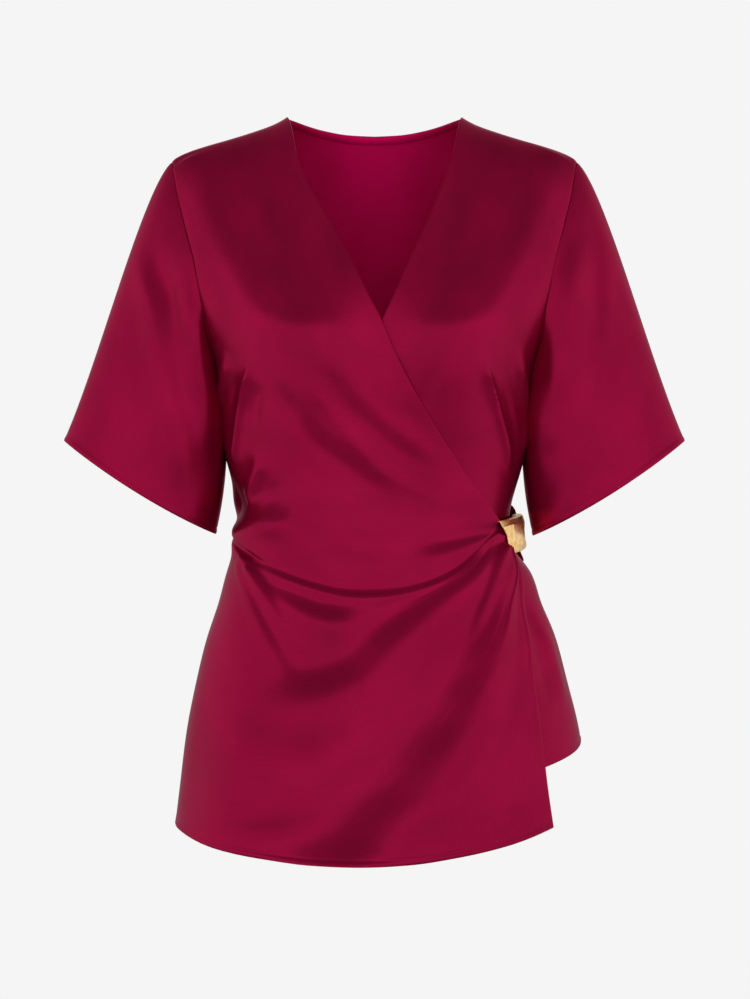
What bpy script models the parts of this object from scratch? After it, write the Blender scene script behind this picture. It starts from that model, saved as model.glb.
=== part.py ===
"""Satin wrap top with short wide sleeves, hollow and filled out as if worn, and its gold clasp.

Every size below is in millimetres, and the model is built in metres. X runs across, with +X
on the wearer's left, the front faces -Y and +Z is up. The origin lies midway between the two
neck points, the inner ends of the shoulder seams, on the level where the garment is held up.

All the cloth lies on one figure: a stack of rounded sections, arched over to the shoulder line.
A place on it is a turn, the angle round the body from the wearer's left side (0) to the right
side (pi), and a fall, the angle down the arch and then straight down. Each panel is a fan of
lines across the figure, one line for each section or fold, and its wall is that sheet thickened.
"""
import math

import bpy
import numpy as np

MM = 0.001

# ---- driving dimensions ----------------------------------------------------------------------
NECK_HALF = 85.0            # from the middle to a neck point
SHOULDER_HALF = 196.0       # from the middle to a shoulder tip
BUST_DROP = 225.0           # the arch over the shoulders ends at this level
UNDERARM_DROP = 272.0
CLOTH = 1.6                 # thickness of every cloth wall
SEAM_GAP = 0.3              # left open between two panels at a seam
OVERLAP_LIFT = 4.0          # the over-front rides this far outside the under-front
LINE_SPACING = 24.0         # widest step between two lines of a panel
OVER_COLUMNS = 22
UNDER_COLUMNS = 16
BACK_COLUMNS = 34
NECK_START = 6              # the back's columns along each shoulder seam
ARMHOLE_LINES = 9           # the back's lines from the shoulders down to the underarms

# ---- the figure ------------------------------------------------------------------------------
FRONT_SQUARENESS = 2.3      # 2 is an ellipse, more is squarer
BACK_SQUARENESS = 2.5

# level below the neck points, half width on the wearer's right and left, depth front and back
FIGURE = np.array([
    # down  right   left  front   back
    (0,     207.0, 207.0,   0.0,   0.0),
    (8,     207.0, 207.0,  22.0,  20.0),
    (25,    207.0, 207.0,  42.0,  40.0),
    (60,    206.0, 206.0,  62.0,  60.0),
    (100,   202.5, 202.5,  80.0,  76.0),
    (140,   196.5, 196.5,  97.0,  88.0),
    (175,   185.0, 185.0, 110.0,  94.0),
    (205,   171.5, 171.5, 117.0,  96.0),
    (235,   159.0, 159.0, 118.0,  95.5),
    (272,   148.0, 148.0, 112.5,  92.0),
    (300,   146.5, 146.5, 106.0,  88.0),
    (330,   142.0, 143.0,  99.0,  82.0),
    (352,   136.8, 136.8,  95.0,  77.0),
    (372,   134.8, 131.5,  92.5,  74.0),
    (386,   131.5, 129.5,  92.0,  72.5),
    (400,   131.0, 128.5,  93.0,  73.0),
    (415,   133.5, 133.0,  95.5,  75.5),
    (433,   140.0, 147.0,  99.5,  79.5),
    (465,   149.0, 159.0, 106.5,  86.5),
    (495,   159.0, 171.5, 113.0,  93.0),
    (540,   170.5, 184.5, 122.0, 101.0),
    (588,   180.0, 196.5, 130.0, 108.0),
    (640,   186.5, 203.5, 137.0, 114.0),
    (690,   192.0, 209.0, 142.0, 118.0),
    (740,   194.0, 212.0, 144.0, 120.0),
])

# the shoulder line: height over the neck points for each distance from the middle; inside the
# neck hole it only guides the arch
SHOULDER_LINE = np.array([
    # out   height
    (0,      92.0),
    (15,     86.0),
    (30,     72.0),
    (45,     50.0),
    (60,     26.0),
    (72,     10.0),
    (85,      0.0),
    (98,     -7.0),
    (119,   -14.5),
    (140,   -21.0),
    (162,   -27.3),
    (179,   -33.0),
    (192,   -39.4),
    (196,   -43.5),
    (215,   -60.0),
])

BUST_SIDE = 88.0            # the fullest place of each front, from the middle
BUST_LEVEL = -228.0
BUST_FULLNESS = 12.0
BUST_WIDTH = 42.0
BUST_HEIGHT = 45.0

# ---- outlines and folds of the panels ---------------------------------------------------------
# Where the armhole seams run, as distances from the middle and heights.
FRONT_ARMHOLE = ((196, -43.5), (190, -70), (181.5, -105), (171, -145), (164, -179),
                 (156.5, -213), (150, -250), (148, -272))
BACK_ARMHOLE = ((196, -43.5), (193, -70), (187.5, -105), (178, -145), (171, -179),
                (162, -213), (152, -250), (148, -272))

THIRDS = (0, 1 / 3, 2 / 3, 1)
SEAM = None                 # a line that starts on the armhole or the side seam, at a level
# Each line of a front is given by its two ends and by the places it passes a third and two
# thirds of the way; a straight one needs only its ends. Its lifts raise the cloth near its
# start, at the two thirds and near its end: high on the crest of a fold, low in its trough.
# Over-front: from the armhole, side seam or hem to the crossed edge, the clasp or the free edge.
OVER_FRONT = (
    # start x, z        a third        two thirds     end x, z          lifts
    ((SEAM, -43.5),    None,          None,          (-85, 0),         (0, 0, 0, 0)),
    ((SEAM, -70),      None,          None,          (-72, -47),       (0, 0, 0, 0)),
    ((SEAM, -105),     None,          None,          (-57, -79),       (0, 0, 0, 0)),
    ((SEAM, -145),     None,          None,          (-38, -112),      (0, 0, 0, 0)),
    ((SEAM, -179),     None,          None,          (-15, -157),      (0, 0, 0, 0)),
    ((SEAM, -213),     None,          None,          (8, -203),        (0, 0, 0, 0)),
    ((SEAM, -250),     None,          None,          (28, -247),       (1, 0, 0, 0)),
    ((SEAM, -272),     None,          None,          (48, -284),       (2, 0, 1, 0)),
    ((SEAM, -297),     None,          None,          (66, -314),       (2, 0, 3, 2)),
    ((SEAM, -322),     (-110, -333),  (-24, -346),   (84, -343),       (1, 0, 2, 3)),
    ((SEAM, -345),     (-101, -361),  (-4, -378),    (96, -362),       (2, 1, 0, 3)),
    ((SEAM, -363),     (-93, -386),   (10, -402),    (105, -379),      (0, 1, 0, 2)),
    ((SEAM, -377),     (-84, -408),   (22, -421),    (107, -388.5),    (0, 0, 0, 1)),
    ((SEAM, -387),     (-76, -425),   (30, -434),    (107.5, -389.7),  (1, 1, 1, 0.5)),
    ((SEAM, -394),     (-72, -436),   (34, -443),    (108.1, -390.9),  (5, 6, 5.5, 2)),
    ((SEAM, -400.5),   (-71, -442),   (34, -448.5),  (108.6, -392.2),  (0, 1, 1, 0.5)),
    ((SEAM, -407),     (-71, -451),   (34, -454.5),  (109.2, -393.4),  (5, 6.5, 5.5, 2)),
    ((SEAM, -414),     (-74, -468),   (32, -461),    (109.7, -394.6),  (0.5, 0, 2, 1)),
    ((SEAM, -422),     (-71, -488),   (27, -468),    (110.2, -395.8),  (4, 5, 2.5, 1)),
    ((SEAM, -433),     (-74, -501),   (21, -477),    (110.8, -397),    (1.5, 3, 3.5, 1.5)),
    ((SEAM, -446),     (-74, -515),   (16, -486),    (111.3, -398.2),  (4, 6, 3, 2)),
    ((SEAM, -468),     (-71, -535),   (20, -498),    (111.9, -399.5),  (0.5, 0.5, 0, 0)),
    ((SEAM, -502),     (-69, -562),   (28, -512),    (112.4, -400.7),  (0, 0.5, 0.5, 0.5)),
    ((SEAM, -550),     (-64, -592),   (37, -526),    (112.9, -401.9),  (0, 1.5, 3, 1)),
    ((SEAM, -600),     (-58, -620),   (46, -540),    (113.5, -403.1),  (0, 3, 5, 1.5)),
    ((SEAM, -640),     (-50, -643),   (54, -550),    (114, -404.3),    (0, 7, 8, 3)),
    ((SEAM, -676),     (-44, -652),   (61, -555),    (114.5, -405.5),  (0, 4, 4, 1)),
    ((-183, -683.5),   (-36, -656),   (67, -557),    (115.1, -406.8),  (0, 1, 1, 0)),
    ((-150, -694.5),   (-20, -657),    (72, -555),    (115.6, -408),    (0, 0, 0, 0)),
    ((-105, -702.5),   (-3, -655),     (77, -551),    (116.2, -409.2),  (0, 0, 0, 0)),
    ((-60, -707),      (14, -651),    (83, -546),    (116.7, -410.4),  (0, 0, 0, 0)),
    ((-15, -708),      (39, -648),    (94, -541),    (117.2, -411.6),  (0, 2, 2, 1)),
    ((30, -706.5),     (67, -641),     (106, -535),   (118.0, -412.4),  (1, 3, 3, 2)),
    ((75, -700.5),     (97, -629),     (119, -527),   (118.9, -413.5),  (2, 3, 2, 1)),
    ((122, -691),      (127, -612),   (133, -517),   (119.9, -414.5),  (0, 1, 0, 0)),
    ((165.5, -676),    (155.5, -596), (146, -510),   (121.4, -415.4),  (0, 0, 0, 0)),
)
# Under-front: from the armhole, side seam or hem to the crossed edge and, under the
# over-front, its own free edge.
UNDER_FRONT = (
    ((SEAM, -43.5),    None,           None,           (85, 0),           (0, 0, 0, 0)),
    ((SEAM, -70),      None,           None,           (75, -38),         (0, 0, 0, 0)),
    ((SEAM, -105),     None,           None,           (60, -80),         (0, 0, 0, 0)),
    ((SEAM, -145),     None,           None,           (42, -122),        (0, 0, 0, 0)),
    ((SEAM, -179),     None,           None,           (23, -165),        (0, 0, 0, 0)),
    ((SEAM, -213),     None,           None,           (6, -202),         (0, 0, 0, 0)),
    ((SEAM, -250),     None,           None,           (-14, -240),       (0.5, 0, 0, 0)),
    ((SEAM, -272),     None,           None,           (-30, -268),       (1.5, 0, 0, 0)),
    ((SEAM, -300),     None,           None,           (-52, -302),       (1.5, 0, 0, 0)),
    ((SEAM, -330),     None,           None,           (-70, -332),       (1, 0, 0, 0)),
    ((SEAM, -358),     None,           None,           (-86, -360),       (1, 0, 0, 0)),
    ((SEAM, -383),     None,           None,           (-96, -385),       (0, 0, 0, 0)),
    ((SEAM, -402),     None,           None,           (-97, -404),       (0, 0, 0, 0)),
    ((SEAM, -420),     None,           None,           (-97, -424),       (0, 0, 0, 0)),
    ((SEAM, -446),     None,           None,           (-98, -456),       (1, 0, 0, 0)),
    ((SEAM, -480),     None,           None,           (-99, -498),       (2, 0, 0, 0)),
    ((SEAM, -522),     (130, -548),    (10, -572),     (-100, -555),      (1, 0, 0, 0)),
    ((SEAM, -562),     (134, -592),    (10, -618),     (-101, -605),      (1, 0, 0, 0)),
    ((SEAM, -598),     (140, -626),    (20, -652),     (-102, -655),      (0, 0, 0, 0)),
)

# Back: its neck edge, from the middle out, and the height of its hem at a few places across.
BACK_NECK = ((0, -11.3), (25, -10.3), (48, -7.3), (68, -3.4), (80, -0.8), (NECK_HALF, 0))
BACK_HEM = ((-190, -676), (-130, -690), (-60, -692), (20, -684), (100, -660), (160, -630), (200, -598))
# lines of the back below the underarm: level at the side seams, sag in the middle, and lifts
BACK_LINES = (
    # level   sag    lift near the seams, in the middle
    (-300,    2,     0, 0),
    (-325,    5,     2, 3),
    (-348,    8,     0, 0),
    (-368,    11,    2, 5),
    (-384,    14,    0, 1),
    (-398,    16,    2, 6),
    (-412,    16,    0, 1),
    (-428,    14,    1, 4),
    (-452,    10,    0, 0),
    (-495,    6,     0, 0),
    (-545,    3,     0, 0),
)
NECK_BAND = 10.0            # the back's second line runs this far below its top edge
BINDING_SHARE = 0.8         # the binding covers this share of the band between them
BINDING_CLOTH = 1.0

# ---- sleeves -----------------------------------------------------------------------------------
CUFF_OUTER = (-299.0, -311.0)      # outer end of the right sleeve's hem, as x and z
CUFF_INNER = (-153.5, -401.0)      # inner end of the hem, beside the body
CUFF_DROP = 1.5                    # the inner end hangs this much lower on the left sleeve
CUFF_DEPTH = 96.0                  # the hem's opening from front to back
CUFF_BOW = 5.5                     # the hem hangs this much lower between its two ends
SLEEVE_RINGS = 11
SLEEVE_POINTS = 28
TIP_GAP = 1.3                      # the sleeve's first ring stands this far outside the armhole,
UNDERARM_GAP = 2.8                 # and this far where it runs beside the body
CAP_REACH = 62.0                   # how strongly the sleeve leaves the shoulder outwards
SLEEVE_FOLD = 6.0                  # depth of the long fold down the front and back of a sleeve
INNER_BEND = 6.5                   # the sleeve bends in towards the waist by this much,
INNER_LOBES = 5.0                  # and its front and back close round the body's side

# ---- clasp and tab -----------------------------------------------------------------------------
CLASP_LEVEL = -402.5
CLASP_HEIGHT = 33.0
CLASP_THICK = 11.0
CLASP_WALL = 1.6
CLASP_OFFSET = 11.2                # the clasp's middle stands this far outside the figure
CLASP_LEAN = 0.20                  # its lower edge stands out further, as the cloth flares there
CLASP_START = 0.50                 # turn at the middle of its mouth, on the front
CLASP_END = -0.10                  # turn at which it ends, just behind the side seam
MOUTH_SLANT = 0.11                 # the mouth's top reaches further forward than its bottom
CLASP_LIFT = 6.0                   # the gathered end of the over-front rises into the clasp,
CLASP_REACH = 0.3                  # over this share of each line
# stations along the clasp from its mouth to its back end, as shares of its length
CLASP_STATIONS = (
    # share  height  thickness  middle level moved by
    (0.00,   0.92,   1.04,      -1.7),
    (0.12,   0.96,   0.92,      -1.0),
    (0.30,   0.97,   1.10,       0.4),
    (0.48,   1.00,   0.90,       2.0),
    (0.66,   0.95,   1.08,       3.4),
    (0.84,   0.97,   0.94,       4.4),
    (1.00,   0.94,   1.02,       5.0),
)
CLASP_POINTS = 20
TAB_THICK = 4.0
TAB_POINTS = 12
# the folded tab, from inside the clasp to where it is sewn on behind the side seam
TAB_STATIONS = (
    # turn   half height  level   out from the figure
    (0.24,   8.5,         -401.0,  10.6),
    (0.06,   9.0,         -399.0,  10.6),
    (-0.12,  11.0,        -398.0,  9.6),
    (-0.19,  19.0,        -398.5,  8.6),
    (-0.26,  26.0,        -400.5,  7.2),
    (-0.40,  30.0,        -401.0,  6.4),
)

SATIN = (0.24, 0.005, 0.04, 1.0)
GOLD = (0.72, 0.42, 0.16, 1.0)


# ---- curves ------------------------------------------------------------------------------------
def smooth(stations, values, at):
    """Interpolate a table without overshooting, so straight stretches stay straight."""
    stations = np.asarray(stations, float)
    values = np.asarray(values, float)
    at = np.clip(np.asarray(at, float), stations[0], stations[-1])
    span = np.diff(stations)
    slope = np.diff(values) / span
    tangent = np.empty(len(stations))
    tangent[0], tangent[-1] = slope[0], slope[-1]
    before, after = slope[:-1], slope[1:]
    same_way = before * after > 0
    total = np.where(same_way, before + after, 1.0)
    tangent[1:-1] = np.where(same_way, 2 * before * after / total, 0.0)
    i = np.clip(np.searchsorted(stations, at) - 1, 0, len(stations) - 2)
    t = (at - stations[i]) / span[i]
    return ((2 * t**3 - 3 * t**2 + 1) * values[i] + (t**3 - 2 * t**2 + t) * span[i] * tangent[i]
            + (3 * t**2 - 2 * t**3) * values[i + 1] + (t**3 - t**2) * span[i] * tangent[i + 1])


def spline(stations, values, at):
    """Interpolate a table by the smoothest curve, as a bent strip of wood would run through it."""
    stations = np.asarray(stations, float)
    values = np.asarray(values, float)
    span = np.diff(stations)
    count = len(stations)
    system = np.eye(count)
    right = np.zeros(count)
    for k in range(1, count - 1):
        system[k, k - 1:k + 2] = span[k - 1], 2 * (span[k - 1] + span[k]), span[k]
        right[k] = 6 * ((values[k + 1] - values[k]) / span[k] - (values[k] - values[k - 1]) / span[k - 1])
    bend = np.linalg.solve(system, right)
    at = np.clip(np.asarray(at, float), stations[0], stations[-1])
    i = np.clip(np.searchsorted(stations, at) - 1, 0, count - 2)
    a = (stations[i + 1] - at) / span[i]
    b = 1 - a
    return (a * values[i] + b * values[i + 1]
            + ((a**3 - a) * bend[i] + (b**3 - b) * bend[i + 1]) * span[i]**2 / 6)


def ease(value):
    """0 below 0, 1 above 1, and soft between."""
    t = np.clip(value, 0.0, 1.0)
    return t * t * (3 - 2 * t)


def resample(points, count):
    """Even points along a line of points."""
    points = np.asarray(points, float)
    along = np.concatenate(([0.0], np.cumsum(np.linalg.norm(np.diff(points, axis=0), axis=1))))
    wanted = np.linspace(0, along[-1], count)
    return np.stack([smooth(along, points[:, axis], wanted) for axis in range(points.shape[1])], -1)


# ---- the figure ----------------------------------------------------------------------------------
def fall_at(down):
    """The fall that reaches a level: round the arch, and straight down below the bust."""
    share = np.clip(np.asarray(down, float) / BUST_DROP, 0, 1)
    return np.where(share < 1, np.arccos(1 - share), math.pi / 2 + np.asarray(down) / BUST_DROP - 1)


FIGURE_FALLS = fall_at(FIGURE[:, 0])


def section(fall, column):
    return spline(FIGURE_FALLS, FIGURE[:, column], np.abs(fall))


def shoulder_height(x):
    return smooth(SHOULDER_LINE[:, 0], SHOULDER_LINE[:, 1], np.abs(x))


def on_figure(turn, fall, front=True):
    """The point of the figure at a turn and a fall; past a seam it runs on evenly."""
    turn = np.asarray(turn, float)
    fall = np.asarray(fall, float)
    squareness = FRONT_SQUARENESS if front else BACK_SQUARENESS
    across, ahead = np.cos(turn), np.sin(turn)
    half = np.where(across < 0, section(fall, 1), section(fall, 2))
    x = np.sign(across) * half * np.abs(across) ** (2 / squareness)
    top = shoulder_height(x)
    share = 1 - np.cos(fall)
    z = np.where(fall < math.pi / 2, top - share * (top + BUST_DROP), -BUST_DROP * (1 + fall - math.pi / 2))
    depth = section(fall, 3 if front else 4) * np.sign(fall)
    depth = depth * np.sign(ahead) * np.abs(ahead) ** (2 / squareness)
    if front:
        bust = ((np.abs(x) - BUST_SIDE) / BUST_WIDTH) ** 2 + ((z - BUST_LEVEL) / BUST_HEIGHT) ** 2
        depth = depth + BUST_FULLNESS * np.exp(-bust / 2) * ahead * np.sign(fall)
    return np.stack([x, -depth if front else depth, z], -1)


def normal_on_figure(turn, fall, front=True):
    """The unit normal that points out of the figure."""
    step = 0.01
    around = on_figure(turn + step, fall, front) - on_figure(turn - step, fall, front)
    down = on_figure(turn, fall + step, front) - on_figure(turn, fall - step, front)
    normal = np.cross(around, down) if front else np.cross(down, around)
    return normal / np.linalg.norm(normal, axis=-1, keepdims=True)


def turn_and_fall(x, z, front=True):
    """The place on the figure that is seen at x and z."""
    x, z = np.asarray(x, float), np.asarray(z, float)
    top = shoulder_height(x)
    share = np.clip((top - z) / (top + BUST_DROP), 0, 1)
    fall = np.where(z > -BUST_DROP, np.arccos(1 - share), math.pi / 2 + (-z - BUST_DROP) / BUST_DROP)
    half = np.where(x < 0, section(fall, 1), section(fall, 2))
    squareness = FRONT_SQUARENESS if front else BACK_SQUARENESS
    across = np.sign(x) * np.clip(np.abs(x) / half, 0, 1) ** (squareness / 2)
    return np.arccos(across), fall


def armhole_turn(side, fall, front=True):
    """The turn of the armhole seam at a fall, on one side of the body."""
    x, z = np.array(FRONT_ARMHOLE if front else BACK_ARMHOLE, float).T
    turn, falls = turn_and_fall(side * x, z, front)
    return smooth(falls, turn, fall)


def on_seam(side, z, front=True):
    """The place on the armhole, or on the side seam below it, at a height."""
    x, heights = np.array(FRONT_ARMHOLE if front else BACK_ARMHOLE, float).T
    if z < -UNDERARM_DROP:
        return 0.0 if side > 0 else math.pi, float(fall_at(-z))
    fall = float(smooth(-heights, turn_and_fall(side * x, heights, front)[1], -z))
    return float(armhole_turn(side, fall, front)), fall


# ---- sheets and walls ------------------------------------------------------------------------------
def finish_object(name, mesh, material):
    item = bpy.data.objects.new(name, mesh)
    bpy.context.scene.collection.objects.link(item)
    mesh.materials.append(material)
    mesh.shade_smooth()
    mesh.set_sharp_from_angle(angle=math.radians(50))
    return item


def add_wall(name, sheet, normal, material, thickness=CLOTH, wraps=False):
    """Thicken a sheet of points to both sides and close it round its edges, in one body."""
    lines, columns = sheet.shape[:2]
    outer = sheet + normal * thickness / 2
    inner = sheet - normal * thickness / 2
    vertices = (np.concatenate((outer.reshape(-1, 3), inner.reshape(-1, 3))) * MM).tolist()
    below = lines * columns
    faces = []

    flat = sheet.reshape(-1, 3)
    for line in range(lines - 1):
        for column in range(columns if wraps else columns - 1):
            here, after = line * columns + column, line * columns + (column + 1) % columns
            corners = [here, here + columns, after + columns, after]
            across = [np.linalg.norm(flat[corners[k]] - flat[corners[k + 2]]) for k in (0, 1)]
            if across[1] < across[0]:
                corners = corners[1:] + corners[:1]
            for triangle in (corners[:3], [corners[0]] + corners[2:]):
                faces.append(triangle)
                faces.append([corner + below for corner in triangle[::-1]])
    rims = [[k for k in range(columns)], [(lines - 1) * columns + k for k in range(columns)][::-1]]
    if wraps:
        rims = [rim + rim[:1] for rim in rims]
    else:
        rims.append([line * columns for line in range(lines)][::-1])
        rims.append([line * columns + columns - 1 for line in range(lines)])
    for rim in rims:
        for first, second in zip(rim[:-1], rim[1:]):
            faces.append((first, second, second + below, first + below))
    mesh = bpy.data.meshes.new(name)
    mesh.from_pydata(vertices, [], faces)
    signed = sum(face.normal.dot(face.center) * face.area for face in mesh.polygons)
    if signed < 0:
        mesh.flip_normals()
    return finish_object(name, mesh, material)


def fan(rows, columns):
    """Turn, fall, lift and share of the way of every point of a front, from its table of lines."""
    side = math.copysign(1, rows[0][3][0])
    starts, firsts, seconds, ends, lifts = [], [], [], [], []
    for start, first, second, end, lift in rows:
        start = np.array(on_seam(side, start[1]) if start[0] is SEAM else turn_and_fall(*start))
        end = np.array(turn_and_fall(*end))
        starts.append(start)
        ends.append(end)
        firsts.append(turn_and_fall(*first) if first else start + (end - start) / 3)
        seconds.append(turn_and_fall(*second) if second else start + (end - start) * 2 / 3)
        lifts.append(lift)
    middles = (np.array(firsts) + np.array(seconds)) / 2
    step = np.linalg.norm(np.diff(middles * (120.0, BUST_DROP), axis=0), axis=1)
    place = np.concatenate(([0.0], np.cumsum(step)))
    at = np.concatenate([np.linspace(low, high, max(1, math.ceil((high - low) / LINE_SPACING)),
                                     endpoint=False) for low, high in zip(place[:-1], place[1:])])
    at = np.append(at, place[-1])

    def between(table):
        table = np.array(table, float)
        return np.stack([smooth(place, table[:, k], at) for k in range(table.shape[1])], -1)

    starts, firsts, seconds, ends = map(between, (starts, firsts, seconds, ends))
    at_armhole = starts[:, 1] < fall_at(UNDERARM_DROP)
    starts[at_armhole, 0] = armhole_turn(side, starts[at_armhole, 1])
    t = np.linspace(0, 1, columns)
    thirds = np.stack((starts, firsts, seconds, ends), 1)
    line = np.stack([np.stack([spline(THIRDS, row[:, k], t) for k in (0, 1)], -1) for row in thirds])
    lift = np.stack([smooth((0, 0.1, 1 / 3, 2 / 3, 0.9, 1.0), (0, *row, row[3] * 0.6), t)
                     for row in between(lifts)])
    return line[..., 0], line[..., 1], lift, t


def overlap_lift(turn, fall):
    """How far the over-front stands off, where the under-front lies beneath it."""
    edge = np.array([row[3] for row in UNDER_FRONT], float)
    edge_turn, edge_fall = turn_and_fall(edge[:, 0], edge[:, 1])
    edge_turn = smooth(edge_fall, edge_turn, fall)
    return OVERLAP_LIFT * ease((fall - 1.0) / 0.45) * ease((edge_turn + 0.6 - turn) / 0.5)


def front_panel(name, rows, material, over):
    turn, fall, lift, t = fan(rows, OVER_COLUMNS if over else UNDER_COLUMNS)
    if over:
        lift = lift + overlap_lift(turn, fall)
        gathered = ease((fall[:, -1:] - fall_at(370)) / 0.04)
        lift = lift + CLASP_LIFT * gathered * ease((t - 1 + CLASP_REACH) / CLASP_REACH)
    normal = normal_on_figure(turn, fall)
    sheet = on_figure(turn, fall) + normal * lift[..., None]
    sheet[..., 1] -= SEAM_GAP / 2
    add_wall(name, sheet, normal, material)


def back_panel(material):
    """The back: shoulder seams and neck at the top, then lines across down to the hem."""
    top_x = np.concatenate((
        np.linspace(-SHOULDER_HALF, -NECK_HALF, NECK_START + 1)[:-1],
        NECK_HALF * np.sin(np.linspace(-math.pi / 2, math.pi / 2, BACK_COLUMNS - 2 * NECK_START)),
        np.linspace(NECK_HALF, SHOULDER_HALF, NECK_START + 1)[1:]))
    neck = np.array(BACK_NECK, float)
    in_neck = np.abs(top_x) < NECK_HALF - 0.01
    top_z = np.where(in_neck, smooth(neck[:, 0], neck[:, 1], np.abs(top_x)), shoulder_height(top_x))
    top_turn, top_fall = turn_and_fall(top_x, top_z, front=False)
    top_fall = np.where(in_neck, top_fall, 0.0)
    share = (top_turn - top_turn[0]) / (top_turn[-1] - top_turn[0])
    underarm = fall_at(UNDERARM_DROP)
    turns, falls, lifts = [], [], []
    below = on_figure(top_turn, top_fall + 0.01, False) - on_figure(top_turn, top_fall, False)
    band = NECK_BAND * 0.01 / np.linalg.norm(below, axis=1)
    for part, neck_share in ((0, 0), (0, 1), *((part, 1) for part in np.linspace(0, 1, ARMHOLE_LINES)[1:])):
        fall = underarm * part + (top_fall + band * neck_share) * (1 - part) ** 1.6
        side_turn = armhole_turn(1, fall[0], front=False)
        turns.append(math.pi - side_turn + share * (2 * side_turn - math.pi))
        falls.append(fall)
        lifts.append(np.zeros(BACK_COLUMNS))
    straight = math.pi * (1 - share)
    nearness = 1 - np.abs(2 * share - 1)
    for level, sag, seam_lift, middle_lift in BACK_LINES:
        turns.append(straight)
        falls.append(fall_at(-level + sag * np.sin(math.pi * share)))
        lifts.append(smooth((0, 0.25, 1), (0, seam_lift, middle_lift), nearness))
    hem = np.array(BACK_HEM, float)
    hem_x = on_figure(straight, np.full(BACK_COLUMNS, fall_at(660)), front=False)[:, 0]
    hem_fall = fall_at(-smooth(hem[:, 0], hem[:, 1], hem_x))
    above = falls[-1]
    for part in (1 / 3, 2 / 3, 1.0):
        turns.append(straight)
        falls.append(above + (hem_fall - above) * part)
        lifts.append(np.zeros(BACK_COLUMNS))
    turns, falls, lifts = np.array(turns), np.array(falls), np.array(lifts)
    normal = normal_on_figure(turns, falls, front=False)
    sheet = on_figure(turns, falls, front=False) + normal * lifts[..., None]
    sheet[..., 1] += SEAM_GAP / 2
    add_wall("back", sheet, normal, material)
    return sheet, normal


def back_neck_binding(back, normal, material):
    """A narrow strip turned to the inside along the back neck, laid on the back's own points."""
    in_neck = slice(NECK_START, -NECK_START)
    share = np.array((0.08, BINDING_SHARE / 2, BINDING_SHARE))[:, None, None]
    outward = normal[0, in_neck] * (1 - share) + normal[1, in_neck] * share
    outward /= np.linalg.norm(outward, axis=-1, keepdims=True)
    sheet = back[0, in_neck] * (1 - share) + back[1, in_neck] * share
    sheet = sheet - outward * (CLOTH / 2 + SEAM_GAP + BINDING_CLOTH / 2 + 0.1)
    add_wall("back_neck_binding", sheet, outward, material, BINDING_CLOTH)


def sleeve(name, side, material):
    """A sleeve lofted from the armhole to its hem, whose plane runs straight back."""
    seam = np.linspace(0, fall_at(UNDERARM_DROP), 40)
    front, back = (resample(on_figure(armhole_turn(side, seam, ahead), seam, ahead), SLEEVE_POINTS // 2 + 1)
                   for ahead in (True, False))
    start = np.concatenate((front, back[::-1][1:-1]))
    angle = np.arange(SLEEVE_POINTS) * 2 * math.pi / SLEEVE_POINTS
    on_top = (1 + np.cos(angle)) / 2
    start[:, 0] += side * (UNDERARM_GAP + (TIP_GAP - UNDERARM_GAP) * on_top)
    outer, inner = np.array(CUFF_OUTER), np.array(CUFF_INNER)
    if side > 0:
        inner = inner - (0, CUFF_DROP)
    centre, half = (outer + inner) / 2, (outer - inner) / 2
    end = np.stack([-side * (centre[0] + half[0] * np.cos(angle)), -CUFF_DEPTH / 2 * np.sin(angle),
                    centre[1] + half[1] * np.cos(angle) - CUFF_BOW * np.sin(angle) ** 2], -1)
    leave = np.stack([side * (18 + CAP_REACH * on_top), -10 * np.sin(angle), -150 + 75 * on_top], -1)
    arrive = np.stack([side * (20 + 75 * on_top), np.zeros(SLEEVE_POINTS), -150 - 60 * on_top], -1)
    down = np.linspace(0, 1, SLEEVE_RINGS)
    t = down[:, None, None]
    sheet = ((2 * t**3 - 3 * t**2 + 1) * start + (t**3 - 2 * t**2 + t) * leave
             + (3 * t**2 - 2 * t**3) * end + (t**3 - t**2) * arrive)
    around = np.roll(sheet, -1, axis=1) - np.roll(sheet, 1, axis=1)
    normal = np.cross(around, np.gradient(sheet, axis=0)) * side
    normal /= np.linalg.norm(normal, axis=-1, keepdims=True)
    if np.sum(normal * (sheet - sheet.mean(axis=1, keepdims=True))) < 0:
        normal = -normal
    from_top = np.minimum(angle, 2 * math.pi - angle)[None, :]
    down = down[:, None]
    trough = np.exp(-((from_top - 1.35 - 0.35 * down) / 0.3) ** 2)
    sheet = sheet - normal * (SLEEVE_FOLD * trough * np.sin(math.pi * down ** 0.8))[..., None]
    lobe = np.exp(-((from_top - 2.5) / 0.35) ** 2)
    inside = np.exp(-((from_top - math.pi) / 0.8) ** 2)
    sheet[..., 0] -= side * (INNER_LOBES * lobe + INNER_BEND * inside) * np.sin(math.pi * down ** 1.25)
    add_wall(name, sheet, normal, material, wraps=True)


def beside_waist(turn, level, out):
    """A place some way out from the figure beside the waist, and the level way outwards."""
    turn = np.asarray(turn, float)
    fall = fall_at(-np.broadcast_to(level, turn.shape))
    point = np.where((turn < 0)[..., None], on_figure(-turn, fall, False), on_figure(turn, fall))
    normal = np.where((turn < 0)[..., None], normal_on_figure(-turn, fall, False), normal_on_figure(turn, fall))
    normal = normal * (1, 1, 0)
    normal /= np.linalg.norm(normal, axis=-1, keepdims=True)
    return point + normal * np.asarray(out)[..., None], normal


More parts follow.
